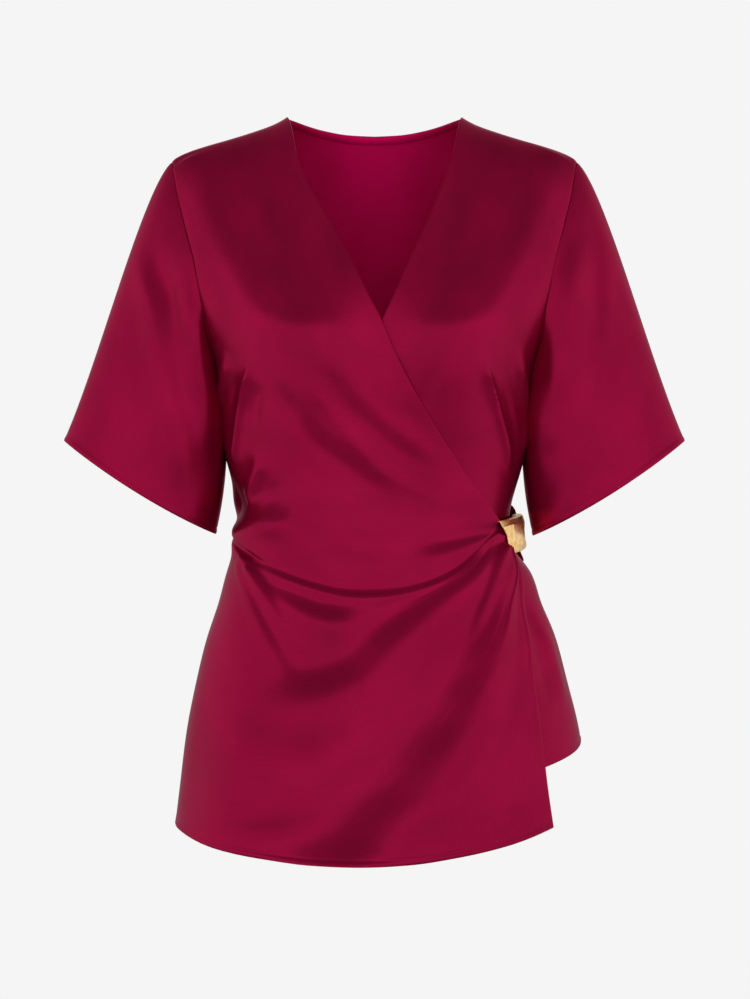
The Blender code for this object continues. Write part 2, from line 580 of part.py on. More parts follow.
def clasp(material):
    """A flattened, crumpled cuff of cast metal, open at both ends, bent round the side."""
    angle = np.arange(CLASP_POINTS) * 2 * math.pi / CLASP_POINTS
    rounded = [np.sign(wave) * np.abs(wave) ** 0.7 for wave in (np.sin(angle), np.cos(angle))]
    sheet, normal = [], []
    for share, height, thick, moved in CLASP_STATIONS:
        up = rounded[0] * (CLASP_HEIGHT / 2 * height - CLASP_WALL / 2) + moved
        side = rounded[1] * (CLASP_THICK / 2 * thick - CLASP_WALL / 2) - up * CLASP_LEAN
        turn = CLASP_START + (CLASP_END - CLASP_START) * share
        turn = turn + MOUTH_SLANT * up / (CLASP_HEIGHT / 2) * (1 - share)
        ring, out = beside_waist(turn, CLASP_LEVEL, CLASP_OFFSET + side)
        ring[:, 2] = CLASP_LEVEL + up
        sheet.append(ring)
        flat = out * np.cos(angle)[:, None]
        flat[:, 2] = np.sin(angle)
        normal.append(flat)
    add_wall("buckle", np.array(sheet), np.array(normal), material, CLASP_WALL, wraps=True)


def side_tab(material):
    """The folded tab that runs through the clasp and is sewn on behind the side seam."""
    angle = np.arange(TAB_POINTS) * 2 * math.pi / TAB_POINTS
    vertices = []
    for turn, half_height, level, out in TAB_STATIONS:
        height = level + np.sin(angle) * half_height
        ring = beside_waist(np.full(TAB_POINTS, turn), height, out + np.cos(angle) * TAB_THICK / 2)[0]
        vertices.extend((ring * MM).tolist())
    last = (len(TAB_STATIONS) - 1) * TAB_POINTS
    faces = [tuple(range(TAB_POINTS)), tuple(range(last, last + TAB_POINTS))[::-1]]
    for ring in range(0, last, TAB_POINTS):
        for k in range(TAB_POINTS):
            after = (k + 1) % TAB_POINTS
            faces.append((ring + after, ring + k, ring + TAB_POINTS + k, ring + TAB_POINTS + after))
    mesh = bpy.data.meshes.new("side_tab")
    mesh.from_pydata(vertices, [], faces)
    finish_object("side_tab", mesh, material)


def make_material(name, colour, roughness, metallic):
    material = bpy.data.materials.new(name)
    material.use_nodes = True
    shader = material.node_tree.nodes["Principled BSDF"]
    shader.inputs["Base Color"].default_value = colour
    shader.inputs["Roughness"].default_value = roughness
    shader.inputs["Metallic"].default_value = metallic
    return material


def main():
    for item in list(bpy.data.objects):
        bpy.data.objects.remove(item)
    satin = make_material("satin", SATIN, 0.4, 0.0)
    gold = make_material("gold", GOLD, 0.25, 1.0)
    front_panel("front_over", OVER_FRONT, satin, over=True)
    front_panel("front_under", UNDER_FRONT, satin, over=False)
    back_neck_binding(*back_panel(satin), satin)
    sleeve("sleeve_right", -1, satin)
    sleeve("sleeve_left", 1, satin)
    clasp(gold)
    side_tab(satin)


main()
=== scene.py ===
# %% [markdown]
# # A satin wrap top with a gold clasp
# The real thing is sewn from a back, two fronts that cross over, two short wide sleeves, a
# narrow neck binding and a tab that holds a cast clasp. It is shown hollow and filled out, as
# if somebody wore it. Cloth this smooth is hard to model by pulling at points. So one figure is
# described by a table of sections, every panel is a grid of points laid on it, and the folds
# lift that grid off the figure. Each grid is then given its thickness by a Solidify modifier.

# %% The fixed frame
import math

import bpy
import numpy as np
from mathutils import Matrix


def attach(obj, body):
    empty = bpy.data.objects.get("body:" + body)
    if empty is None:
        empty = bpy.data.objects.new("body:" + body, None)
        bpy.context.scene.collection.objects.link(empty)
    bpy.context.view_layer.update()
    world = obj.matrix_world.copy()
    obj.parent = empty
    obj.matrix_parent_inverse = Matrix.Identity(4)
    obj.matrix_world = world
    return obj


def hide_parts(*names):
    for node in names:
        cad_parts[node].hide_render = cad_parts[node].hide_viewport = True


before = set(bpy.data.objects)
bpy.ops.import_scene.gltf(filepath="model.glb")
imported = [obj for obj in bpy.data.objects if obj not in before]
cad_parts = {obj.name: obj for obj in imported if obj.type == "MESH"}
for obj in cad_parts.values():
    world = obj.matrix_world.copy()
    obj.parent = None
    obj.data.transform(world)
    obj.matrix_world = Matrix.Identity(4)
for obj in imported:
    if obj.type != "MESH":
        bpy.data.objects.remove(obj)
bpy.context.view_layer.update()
MM = 0.001                          # tables are in millimetres, the scene is in metres
print("solids in the frame:", ", ".join(sorted(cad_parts)))


# %% [markdown]
# ## Curves through tables
# A table gives a value at a few stations. Two ways to run a curve through it are needed.
# `smooth` never overshoots, which suits outlines with straight stretches. `spline` bends as a
# thin strip of wood would, which suits a body's sections. `ease` is a soft step from 0 to 1,
# and `hermite` joins two ends whose directions are known.

# %% Curves
def running_sum(steps):
    return np.concatenate(([0.0], np.cumsum(steps)))


def lengths_along(points):
    """How far along a line of points each of them lies."""
    return running_sum(np.linalg.norm(np.diff(points, axis=0), axis=1))


def unit(vectors):
    return vectors / np.linalg.norm(vectors, axis=-1, keepdims=True)


def ease(value):
    t = np.clip(value, 0.0, 1.0)
    return t * t * (3 - 2 * t)


def hermite(t, start, leave, end, arrive):
    """A curve from start to end that sets out along leave and comes in along arrive."""
    return ((2 * t**3 - 3 * t**2 + 1) * start + (t**3 - 2 * t**2 + t) * leave
            + (3 * t**2 - 2 * t**3) * end + (t**3 - t**2) * arrive)


def smooth(stations, values, at):
    stations, values = np.asarray(stations, float), np.asarray(values, float)
    at = np.clip(np.asarray(at, float), stations[0], stations[-1])
    span = np.diff(stations)
    slope = np.diff(values) / span
    before, after = slope[:-1], slope[1:]
    same_way = before * after > 0
    total = np.where(same_way, before + after, 1.0)
    middle = np.where(same_way, 2 * before * after / total, 0.0)
    tangent = np.concatenate((slope[:1], middle, slope[-1:]))
    i = np.clip(np.searchsorted(stations, at) - 1, 0, len(stations) - 2)
    return hermite((at - stations[i]) / span[i], values[i], span[i] * tangent[i],
                   values[i + 1], span[i] * tangent[i + 1])


def spline(stations, values, at):
    stations, values = np.asarray(stations, float), np.asarray(values, float)
    span = np.diff(stations)
    count = len(stations)
    system, right = np.eye(count), np.zeros(count)
    for k in range(1, count - 1):
        system[k, k - 1:k + 2] = span[k - 1], 2 * (span[k - 1] + span[k]), span[k]
        right[k] = 6 * ((values[k + 1] - values[k]) / span[k]
                        - (values[k] - values[k - 1]) / span[k - 1])
    bend = np.linalg.solve(system, right)
    at = np.clip(np.asarray(at, float), stations[0], stations[-1])
    i = np.clip(np.searchsorted(stations, at) - 1, 0, count - 2)
    a = (stations[i + 1] - at) / span[i]
    b = 1 - a
    return (a * values[i] + b * values[i + 1]
            + ((a**3 - a) * bend[i] + (b**3 - b) * bend[i + 1]) * span[i]**2 / 6)


def smooth_table(stations, table, at):
    """Each column of a table on its own smooth curve."""
    columns = np.asarray(table, float).T
    return np.stack([smooth(stations, column, at) for column in columns], -1)


def resample(points, count):
    along = lengths_along(points)
    return smooth_table(along, points, np.linspace(0, along[-1], count))


# %% [markdown]
# ## The figure under the cloth
# The figure is a stack of rounded sections, arched over to the shoulder line, with a soft
# fullness on each side of the chest. A place on it is a turn, the angle round the body from the
# wearer's left side, and a fall, the angle down the arch and then straight down.

# %% Tables of the figure
FIGURE = np.array([
    # down  right   left  front   back      half widths and depths
    (0,     207.0, 207.0,   0.0,   0.0),
    (8,     207.0, 207.0,  22.0,  20.0),
    (25,    207.0, 207.0,  42.0,  40.0),
    (60,    206.0, 206.0,  62.0,  60.0),
    (100,   202.5, 202.5,  80.0,  76.0),
    (140,   196.5, 196.5,  97.0,  88.0),
    (175,   185.0, 185.0, 110.0,  94.0),
    (205,   171.5, 171.5, 117.0,  96.0),
    (235,   159.0, 159.0, 118.0,  95.5),
    (272,   148.0, 148.0, 112.5,  92.0),
    (300,   146.5, 146.5, 106.0,  88.0),
    (330,   142.0, 143.0,  99.0,  82.0),
    (352,   136.8, 136.8,  95.0,  77.0),
    (372,   134.8, 131.5,  92.5,  74.0),
    (386,   131.5, 129.5,  92.0,  72.5),
    (400,   131.0, 128.5,  93.0,  73.0),
    (415,   133.5, 133.0,  95.5,  75.5),
    (433,   140.0, 147.0,  99.5,  79.5),
    (465,   149.0, 159.0, 106.5,  86.5),
    (495,   159.0, 171.5, 113.0,  93.0),
    (540,   170.5, 184.5, 122.0, 101.0),
    (588,   180.0, 196.5, 130.0, 108.0),
    (640,   186.5, 203.5, 137.0, 114.0),
    (690,   192.0, 209.0, 142.0, 118.0),
    (740,   194.0, 212.0, 144.0, 120.0),
])

SHOULDER_LINE = np.array([
    # out   height
    (0,      92.0),
    (15,     86.0),
    (30,     72.0),
    (45,     50.0),
    (60,     26.0),
    (72,     10.0),
    (85,      0.0),
    (98,     -7.0),
    (119,   -14.5),
    (140,   -21.0),
    (162,   -27.3),
    (179,   -33.0),
    (192,   -39.4),
    (196,   -43.5),
    (215,   -60.0),
])
BUST_DROP = 225.0                   # the arch over the shoulders ends at this level
UNDERARM_DROP = 272.0
NECK_HALF, SHOULDER_HALF = 85.0, 196.0
FRONT_SQUARENESS, BACK_SQUARENESS = 2.3, 2.5     # 2 is an ellipse, more is squarer
BUST = {"side": 88.0, "level": -228.0, "fullness": 12.0, "width": 42.0, "height": 45.0}
FRONT_ARMHOLE = ((196, -43.5), (190, -70), (181.5, -105), (171, -145), (164, -179),
                 (156.5, -213), (150, -250), (148, -272))
BACK_ARMHOLE = ((196, -43.5), (193, -70), (187.5, -105), (178, -145), (171, -179),
                (162, -213), (152, -250), (148, -272))
print("figure from", FIGURE[0, 0], "to", FIGURE[-1, 0], "mm below the neck points")


# %% Points of the figure
def fall_at(down):
    share = np.clip(np.asarray(down, float) / BUST_DROP, 0, 1)
    return np.where(share < 1, np.arccos(1 - share),
                    math.pi / 2 + np.asarray(down) / BUST_DROP - 1)


FIGURE_FALLS = fall_at(FIGURE[:, 0])


def section(fall, column):
    return spline(FIGURE_FALLS, FIGURE[:, column], np.abs(fall))


def shoulder_height(x):
    return smooth(SHOULDER_LINE[:, 0], SHOULDER_LINE[:, 1], np.abs(x))


def on_figure(turn, fall, front=True):
    turn, fall = np.asarray(turn, float), np.asarray(fall, float)
    squareness = FRONT_SQUARENESS if front else BACK_SQUARENESS
    across, ahead = np.cos(turn), np.sin(turn)
    half = np.where(across < 0, section(fall, 1), section(fall, 2))
    x = np.sign(across) * half * np.abs(across) ** (2 / squareness)
    top = shoulder_height(x)
    z = np.where(fall < math.pi / 2, top - (1 - np.cos(fall)) * (top + BUST_DROP),
                 -BUST_DROP * (1 + fall - math.pi / 2))
    depth = section(fall, 3 if front else 4) * np.sign(fall)
    depth = depth * np.sign(ahead) * np.abs(ahead) ** (2 / squareness)
    if front:
        away = (((np.abs(x) - BUST["side"]) / BUST["width"]) ** 2
                + ((z - BUST["level"]) / BUST["height"]) ** 2)
        depth = depth + BUST["fullness"] * np.exp(-away / 2) * ahead * np.sign(fall)
    return np.stack([x, -depth if front else depth, z], -1)


def normal_on_figure(turn, fall, front=True):
    step = 0.01
    around = on_figure(turn + step, fall, front) - on_figure(turn - step, fall, front)
    down = on_figure(turn, fall + step, front) - on_figure(turn, fall - step, front)
    return unit(np.cross(around, down) if front else np.cross(down, around))


def turn_and_fall(x, z, front=True):
    """The place on the figure that is seen at x and z from the front, or behind it there."""
    x, z = np.asarray(x, float), np.asarray(z, float)
    top = shoulder_height(x)
    share = np.clip((top - z) / (top + BUST_DROP), 0, 1)
    fall = np.where(z > -BUST_DROP, np.arccos(1 - share),
                    math.pi / 2 + (-z - BUST_DROP) / BUST_DROP)
    half = np.where(x < 0, section(fall, 1), section(fall, 2))
    squareness = FRONT_SQUARENESS if front else BACK_SQUARENESS
    across = np.sign(x) * np.clip(np.abs(x) / half, 0, 1) ** (squareness / 2)
    return np.arccos(across), fall


def armhole_turn(side, fall, front=True):
    x, z = np.array(FRONT_ARMHOLE if front else BACK_ARMHOLE, float).T
    turn, falls = turn_and_fall(side * x, z, front)
    return smooth(falls, turn, fall)


def on_seam(side, z, front=True):
    """The place on the armhole, or on the side seam below it, at a height."""
    x, heights = np.array(FRONT_ARMHOLE if front else BACK_ARMHOLE, float).T
    if z < -UNDERARM_DROP:
        return 0.0 if side > 0 else math.pi, float(fall_at(-z))
    fall = float(smooth(-heights, turn_and_fall(side * x, heights, front)[1], -z))
    return float(armhole_turn(side, fall, front)), fall


# %% [markdown]
# ## Folds as paths
# A fold on a worn garment is a crest, a trough or a step that runs along a line and dies out
# at its ends. So each one is written as its shape, its height (negative for a trough), its
# width, the shares of its length over which it dies out, and the places that it passes. A
# step rises from one side of its line to the other, as where a pleat lies over the cloth
# below it. `lift_along` finds how far every point of a sheet lies from the line and lifts it.

# %% Lifting a sheet along a path
PATH_STEP = 2.5                     # between the points of a path
REACH = 4.0                         # a fold is over this many of its widths from its line
TIP = 0.25                          # a sharp crest is still this round, in its widths


def path_on_figure(places, front=True):
    """Close points on the figure along a smooth line through a few places, seen as x and z."""
    places = np.array(places, float)
    along = lengths_along(places)
    at = np.linspace(0, along[-1], max(3, int(along[-1] / PATH_STEP)))
    x, z = spline(along, places[:, 0], at), spline(along, places[:, 1], at)
    return on_figure(*turn_and_fall(x, z, front), front)


def nearest(points, path):
    """How far each point is from the path, its share along it, and 1 if it lies right of or
    below a path that runs from left to right, seen from the front, else -1."""
    best, place = np.full(len(points), np.inf), np.zeros(len(points))
    side = np.ones(len(points))
    for k, (start, end) in enumerate(zip(path[:-1], path[1:])):
        line, from_start = end - start, points - start
        share = np.clip(from_start @ line / (line @ line + 1e-9), 0, 1)
        away = np.linalg.norm(from_start - share[:, None] * line, axis=1)
        closer = away < best
        best[closer], place[closer] = away[closer], (k + share)[closer]
        turned = line[2] * from_start[:, 0] - line[0] * from_start[:, 2]
        side[closer] = np.where(turned[closer] > 0, 1, -1)
    return best, place / (len(path) - 1), side


def lift_along(sheet, path, shape, height, width, fade):
    """The lift of every point of a sheet. Height and width are a number, or one for each end."""
    reach = REACH * np.max(width)
    near = np.all((sheet > path.min(axis=0) - reach) & (sheet < path.max(axis=0) + reach), -1)
    away, share, side = nearest(sheet[near], path)
    height = np.interp(share, (0, 1), np.broadcast_to(height, 2))
    x = away / np.interp(share, (0, 1), np.broadcast_to(width, 2))
    if shape == "step":
        profile = side * x * np.exp((1 - x * x) / 2)
    elif shape == "sharp":
        profile = np.exp(TIP - np.hypot(x, TIP))
    else:
        profile = np.exp(-x * x)
    ends = ease(share / max(fade[0], 1e-3)) * ease((1 - share) / max(fade[1], 1e-3))
    lift = np.zeros(sheet.shape[:2])
    lift[near] = height * ends * profile
    return lift


def fold_lift(sheet, folds, front=True):
    return sum(lift_along(sheet, path_on_figure(places, front), shape, height, width, fade)
               for shape, height, width, fade, places in folds)


# %% [markdown]
# ## Colours and finishes
# Polyester satin has long smooth floats of yarn on its face. They reflect light nearly in their
# own colour, in a broad soft gloss that is stretched across the yarns. On the back of the cloth
# the yarns dive under each other, so that side is duller and looks more pink. A dielectric with
# sheen alone would give white highlights and no depth of colour. So both sides start from the
# IOR of polyester, about 1.5, and are then made partly metallic, which tints their reflections.

# %% Colours and nodes
def linear(hex_colour):
    """The linear colour of an sRGB hex value."""
    channels = [int(hex_colour[k:k + 2], 16) / 255 for k in (1, 3, 5)]
    return [c / 12.92 if c <= 0.04045 else ((c + 0.055) / 1.055) ** 2.4 for c in channels] + [1.0]


def link(tree, node, links):
    for socket, output in links.items():
        tree.links.new(output, node.inputs[socket])


def add_node(tree, kind, settings=(), links=(), stops=()):
    """Add a node with its settings, what its sockets read, and the stops of a colour ramp."""
    node = tree.nodes.new(kind)
    for key, value in dict(settings).items():
        if isinstance(key, str) and hasattr(node, key):
            setattr(node, key, value)
        else:
            node.inputs[key].default_value = value
    link(tree, node, dict(links))
    if stops:
        elements = node.color_ramp.elements
        while len(elements) < len(stops):
            elements.new(0.5)
        for element, (position, colour) in zip(elements, stops):
            element.position, element.color = position, colour
    return node


def new_material(name, shader_settings):
    material = bpy.data.materials.new(name)
    material.use_nodes = True
    tree = material.node_tree
    shader = tree.nodes["Principled BSDF"]
    for key, value in shader_settings.items():
        shader.inputs[key].default_value = value
    return material, tree, shader


# %% Satin face and reverse
SLUB = (0.012, 0.0016)              # length and width in metres of a thicker stretch of yarn,
GRAIN = 0.0007                      # and of the grain; both drawn coarser than real to show
CLOUD = 0.07                        # size in metres of the slow changes of shade
SLUB_BUMP, GRAIN_BUMP = 0.0004, 0.0002          # metres
NOISE_SPAN = {"From Min": 0.3, "From Max": 0.7}  # most of a noise lies between these
GLOSS_SPREAD = 0.03                 # the roughness varies this far both ways


def satin(name, dark, light, gloss, bump, settings):
    material, tree, shader = new_material(name, settings)
    uv = add_node(tree, "ShaderNodeUVMap", {"uv_map": "cloth"}).outputs["UV"]
    along = add_node(tree, "ShaderNodeMapping", {"Scale": (1 / SLUB[0], 1 / SLUB[1], 1)},
                     {"Vector": uv})
    slub, grain, cloud = [
        add_node(tree, "ShaderNodeTexNoise", {"Scale": scale, "Detail": detail},
                 {"Vector": vector}).outputs["Fac"]
        for scale, detail, vector in ((1.0, 3.0, along.outputs["Vector"]),
                                      (1 / GRAIN, 2.0, uv), (1 / CLOUD, 2.0, uv))]
    mixed = add_node(tree, "ShaderNodeMath", {"operation": "MULTIPLY_ADD", 1: 0.5},
                     {0: slub, 2: cloud})
    colour = add_node(tree, "ShaderNodeValToRGB", (), {"Fac": mixed.outputs["Value"]},
                      ((0.5, linear(dark)), (1.0, linear(light))))
    rough = add_node(tree, "ShaderNodeMapRange", {**NOISE_SPAN, "To Min": gloss - GLOSS_SPREAD,
                                                  "To Max": gloss + GLOSS_SPREAD},
                     {"Value": grain})
    coarse = add_node(tree, "ShaderNodeBump", {"Strength": bump, "Distance": SLUB_BUMP},
                      {"Height": slub})
    fine = add_node(tree, "ShaderNodeBump", {"Strength": bump, "Distance": GRAIN_BUMP},
                    {"Height": grain, "Normal": coarse.outputs["Normal"]})
    link(tree, shader, {"Base Color": colour.outputs["Color"],
                        "Roughness": rough.outputs["Result"], "Normal": fine.outputs["Normal"]})
    if settings.get("Anisotropic"):
        yarn = add_node(tree, "ShaderNodeTangent", {"direction_type": "UV_MAP", "uv_map": "cloth"})
        link(tree, shader, {"Tangent": yarn.outputs["Tangent"]})
    return material


satin_face = satin("polyester_satin_face", "#8c0a36", "#a00c3e", 0.32, 0.12,
                   {"Metallic": 0.7, "IOR": 1.5, "Specular IOR Level": 0.15,
                    "Specular Tint": linear("#eaaebe"), "Anisotropic": 0.3})
satin_reverse = satin("polyester_satin_reverse", "#cc0a56", "#d80c5e", 0.5, 0.2,
                      {"Metallic": 0.6, "IOR": 1.5, "Specular IOR Level": 0.25,
                       "Specular Tint": linear("#c8174f"), "Sheen Weight": 0.05,
                       "Sheen Roughness": 0.5, "Sheen Tint": linear("#d01a5c")})
print("satin made, glossy face and dull reverse")


# %% [markdown]
# ## From a sheet to cloth
# A grid of points becomes a mesh with a UV map measured in metres, so that a weave has the same
# scale on every panel. Solidify gives it its thickness towards the inside, and puts the inside
# on a second material, because satin is glossy on one side only. A fine bevel rounds the edges,
# which is what catches a thread of light along a real neckline.

# %% Making cloth from a grid
CLOTH = 1.0                         # thickness drawn; real satin is thinner
ROUNDING = 0.3                      # of its edges


def turn_on(item):
    bpy.ops.object.select_all(action="DESELECT")
    item.select_set(True)
    bpy.context.view_layer.objects.active = item


def add_modifier(item, kind, **settings):
    turn_on(item)
    modifier = item.modifiers.new(kind, kind)
    for setting, value in settings.items():
        setattr(modifier, setting, value)
    bpy.ops.object.modifier_apply(modifier=modifier.name)


def cloth(name, sheet, normal, thickness=CLOTH, wraps=False, edge=ROUNDING):
    lines, columns = sheet.shape[:2]
    points = (sheet + normal * thickness / 2) * MM
    line, column = np.meshgrid(np.arange(lines - 1), np.arange(columns if wraps else columns - 1),
                               indexing="ij")
    line = np.stack([line, line + 1, line + 1, line], -1)
    column = np.stack([column, column, column + 1, column + 1], -1)
    faces = (line * columns + column % columns).reshape(-1, 4)
    mesh = bpy.data.meshes.new(name)
    mesh.from_pydata(points.reshape(-1, 3).tolist(), [], faces.tolist())
    across = np.linalg.norm(np.diff(points, axis=1, append=points[:, :1]), axis=-1).mean(axis=0)
    down = np.linalg.norm(np.diff(points, axis=0), axis=-1).mean(axis=1)
    uv = np.stack([running_sum(across)[column], running_sum(down)[line]], -1)
    mesh.uv_layers.new(name="cloth").data.foreach_set("uv", uv.ravel())
    middle = len(faces) // 2
    if mesh.polygons[middle].normal.dot(normal.reshape(-1, 3)[faces[middle][0]]) < 0:
        mesh.flip_normals()
    item = bpy.data.objects.new(name, mesh)
    bpy.context.scene.collection.objects.link(item)
    for material in (satin_face, satin_reverse):
        mesh.materials.append(material)
    add_modifier(item, "SOLIDIFY", thickness=thickness * MM, offset=-1, material_offset=1,
                 material_offset_rim=0)
    if edge:
        add_modifier(item, "BEVEL", width=edge * MM, segments=2, limit_method="ANGLE",
                     angle_limit=math.radians(60))
    turn_on(item)
    bpy.ops.object.shade_smooth_by_angle(angle=math.radians(50))
    count = sum(len(face.vertices) - 2 for face in item.data.polygons)
    print(f"{name}: {lines} lines of {columns} points, {count} triangles")
    return item


# %% [markdown]
# ## The two fronts
# A front hangs from its shoulder seam and is drawn towards its crossed edge and the clasp, so
# its folds run along lines that fan out across it. Each row below is one such line: its two
# ends, the places it passes a third and two thirds of the way, and how far the cloth stands off
# the figure along it. `fan` fills in fine lines between the rows.

# %% Tables of the fronts
SEAM = None                         # a line that starts on the armhole or the side seam
THIRDS = (0, 1 / 3, 2 / 3, 1)
OVER_COLUMNS, UNDER_COLUMNS = 126, 84           # points along each line
OVER_FRONT = (
    # start x, z     a third          two thirds      end x, z          lifts
    ((SEAM, -43.5),  None,          None,         (-85, 0),        (0, 0, 0, 0)),
    ((SEAM, -70),    None,          None,         (-72, -47),      (0, 0, 0, 0)),
    ((SEAM, -105),   None,          None,         (-57, -79),      (0, 0, 0, 0)),
    ((SEAM, -145),   None,          None,         (-38, -112),     (0, 0, 0, 0)),
    ((SEAM, -179),   None,          None,         (-15, -157),     (0, 0, 0, 0)),
    ((SEAM, -213),   None,          None,         (8, -203),       (0, 0, 0, 0)),
    ((SEAM, -250),   None,          None,         (28, -247),      (1, 0, 0, 0)),
    ((SEAM, -272),   None,          None,         (48, -284),      (2, 0, 0, 0)),
    ((SEAM, -297),   None,          None,         (66, -314),      (2, 0, 1, 1)),
    ((SEAM, -322),   (-110, -333),  (-24, -346),  (84, -343),      (1, 1.5, 2, 2)),
    ((SEAM, -345),   (-101, -361),  (-4, -378),   (96, -362),      (1, 4, 4.6, 2.5)),
    ((SEAM, -363),   (-93, -386),   (10, -402),   (105, -379),     (1.2, 5, 5, 2.2)),
    ((SEAM, -377),   (-84, -408),   (22, -421.5), (110.5, -388.5), (1.8, 4, 3.6, 1.8)),
    ((SEAM, -387),   (-76, -427),   (30, -436.5), (112, -389.7),   (2.4, 2.3, 2, 1.4)),
    ((SEAM, -392.5), (-72, -437.5), (34, -445.5), (113, -390.7),   (2.4, 1.5, 1.3, 1.2)),
    ((SEAM, -396.5), (-72, -441),   (34, -449),   (113.8, -391.5), (1.0, 1.2, 1.2, 0.8)),
    ((SEAM, -405),   (-71, -449),   (34, -456.4), (114.5, -392.8), (4.7, 5.2, 4.8, 2.1)),
    ((SEAM, -410),   (-71, -454.5), (34, -460.6), (115, -393.6),   (4.4, 4.6, 3.9, 2.1)),
    ((SEAM, -416),   (-72, -458),   (33, -462.5), (115.4, -394.8), (3.3, 3.9, 3.6, 1.6)),
    ((SEAM, -424),   (-73, -471),   (30, -468),   (115.8, -396),   (2.4, 3.6, 3.4, 1.1)),
    ((SEAM, -434),   (-73, -489),   (25, -474),   (116.2, -397),   (2.0, 3.3, 3.2, 1.0)),
    ((SEAM, -448),   (-74, -508),   (19, -485),   (116.6, -398.2), (1.5, 3.0, 3.1, 1.0)),
    ((SEAM, -470),   (-71, -532),   (20, -498),   (117, -399.5),   (1.0, 2.6, 3.0, 1.0)),
    ((SEAM, -502),   (-69, -562),   (28, -512),   (117.4, -400.7), (0.6, 2.6, 3.0, 1.0)),
    ((SEAM, -550),   (-64, -592),   (37, -526),   (117.8, -401.9), (0.5, 2.8, 3.2, 1.2)),
    ((SEAM, -600),   (-58, -620),   (46, -540),   (118.2, -403.1), (0.5, 3.2, 3.6, 1.5)),
    ((SEAM, -640),   (-50, -643),   (54, -550),   (118.6, -404.3), (0.4, 3.4, 3.8, 1.6)),
    ((SEAM, -676),   (-44, -652),   (61, -555),   (119, -405.5),   (0.3, 3.4, 3.8, 1.6)),
    ((-183, -683.5), (-36, -656),   (67, -557),   (119.3, -406.8), (0.3, 3.2, 3.5, 1.4)),
    ((-150, -694.5), (-20, -657),   (72, -555),   (119.6, -408),   (0.3, 3, 3.2, 1.2)),
    ((-105, -702.5), (-3, -655),    (77, -551),   (119.9, -409.2), (0.3, 2.8, 3, 1)),
    ((-60, -707),    (14, -651),    (83, -546),   (120.1, -410.4), (0.4, 2.7, 2.8, 0.9)),
    ((-15, -708),    (39, -648),    (94, -541),   (120.3, -411.6), (0.6, 2.8, 2.8, 1)),
    ((30, -706.5),   (67, -641),    (106, -535),  (120.5, -412.4), (1, 3, 3, 2)),
    ((75, -700.5),   (97, -629),    (119, -527),  (120.8, -413.5), (2, 3, 2, 1)),
    ((122, -691),    (127, -612),   (133, -517),  (121, -414.5),   (0, 1, 0, 0)),
    ((165.5, -676),  (155.5, -596), (146, -510),  (121.4, -415.4), (0, 0, 0, 0)),
)
UNDER_FRONT = (
    ((SEAM, -43.5), None,        None,       (85, 0),      (0, 0, 0, 0)),
    ((SEAM, -70),   None,        None,       (75, -38),    (0, 0, 0, 0)),
    ((SEAM, -105),  None,        None,       (60, -80),    (0, 0, 0, 0)),
    ((SEAM, -145),  None,        None,       (42, -122),   (0, 0, 0, 0)),
    ((SEAM, -179),  None,        None,       (23, -165),   (0, 0, 0, 0)),
    ((SEAM, -213),  None,        None,       (6, -202),    (0, 0, 0, 0)),
    ((SEAM, -250),  None,        None,       (-14, -240),  (0.5, 0, 0, 0)),
    ((SEAM, -272),  None,        None,       (-30, -268),  (1.5, 0, 0, 0)),
    ((SEAM, -300),  None,        None,       (-52, -302),  (1.5, 0, 0, 0)),
    ((SEAM, -330),  None,        None,       (-70, -332),  (1, 0, 0, 0)),
    ((SEAM, -358),  None,        None,       (-86, -360),  (1, 0, 0, 0)),
    ((SEAM, -383),  None,        None,       (-96, -385),  (0, 0, 0, 0)),
    ((SEAM, -402),  None,        None,       (-97, -404),  (0, 0, 0, 0)),
    ((SEAM, -420),  None,        None,       (-97, -424),  (0, 0, 0, 0)),
    ((SEAM, -446),  None,        None,       (-98, -456),  (1, 0, 0, 0)),
    ((SEAM, -480),  None,        None,       (-99, -498),  (2, 0, 0, 0)),
    ((SEAM, -522),  (130, -548), (10, -572), (-100, -555), (1, 0, 0, 0)),
    ((SEAM, -562),  (134, -592), (10, -618), (-101, -605), (1, 0, 0, 0)),
    ((SEAM, -598),  (140, -626), (20, -652), (-102, -655), (0, 0, 0, 0)),
)
print("rows of the over-front and the under-front:", len(OVER_FRONT), len(UNDER_FRONT))


# %% Filling in the fan of a front
LINE_STEP = 2.6                     # between two lines, where they are widest apart
GIRTH = 120.0                       # a usual radius of the figure, to weigh turns against falls
SIDE_SEAM_END = 676.5               # the over-front's side seam meets its hem here
END_LIFT = 0.6                      # share of a row's last lift that is left at its very end
LIFT_STATIONS = (0, 0.1, 1 / 3, 2 / 3, 0.9, 1)


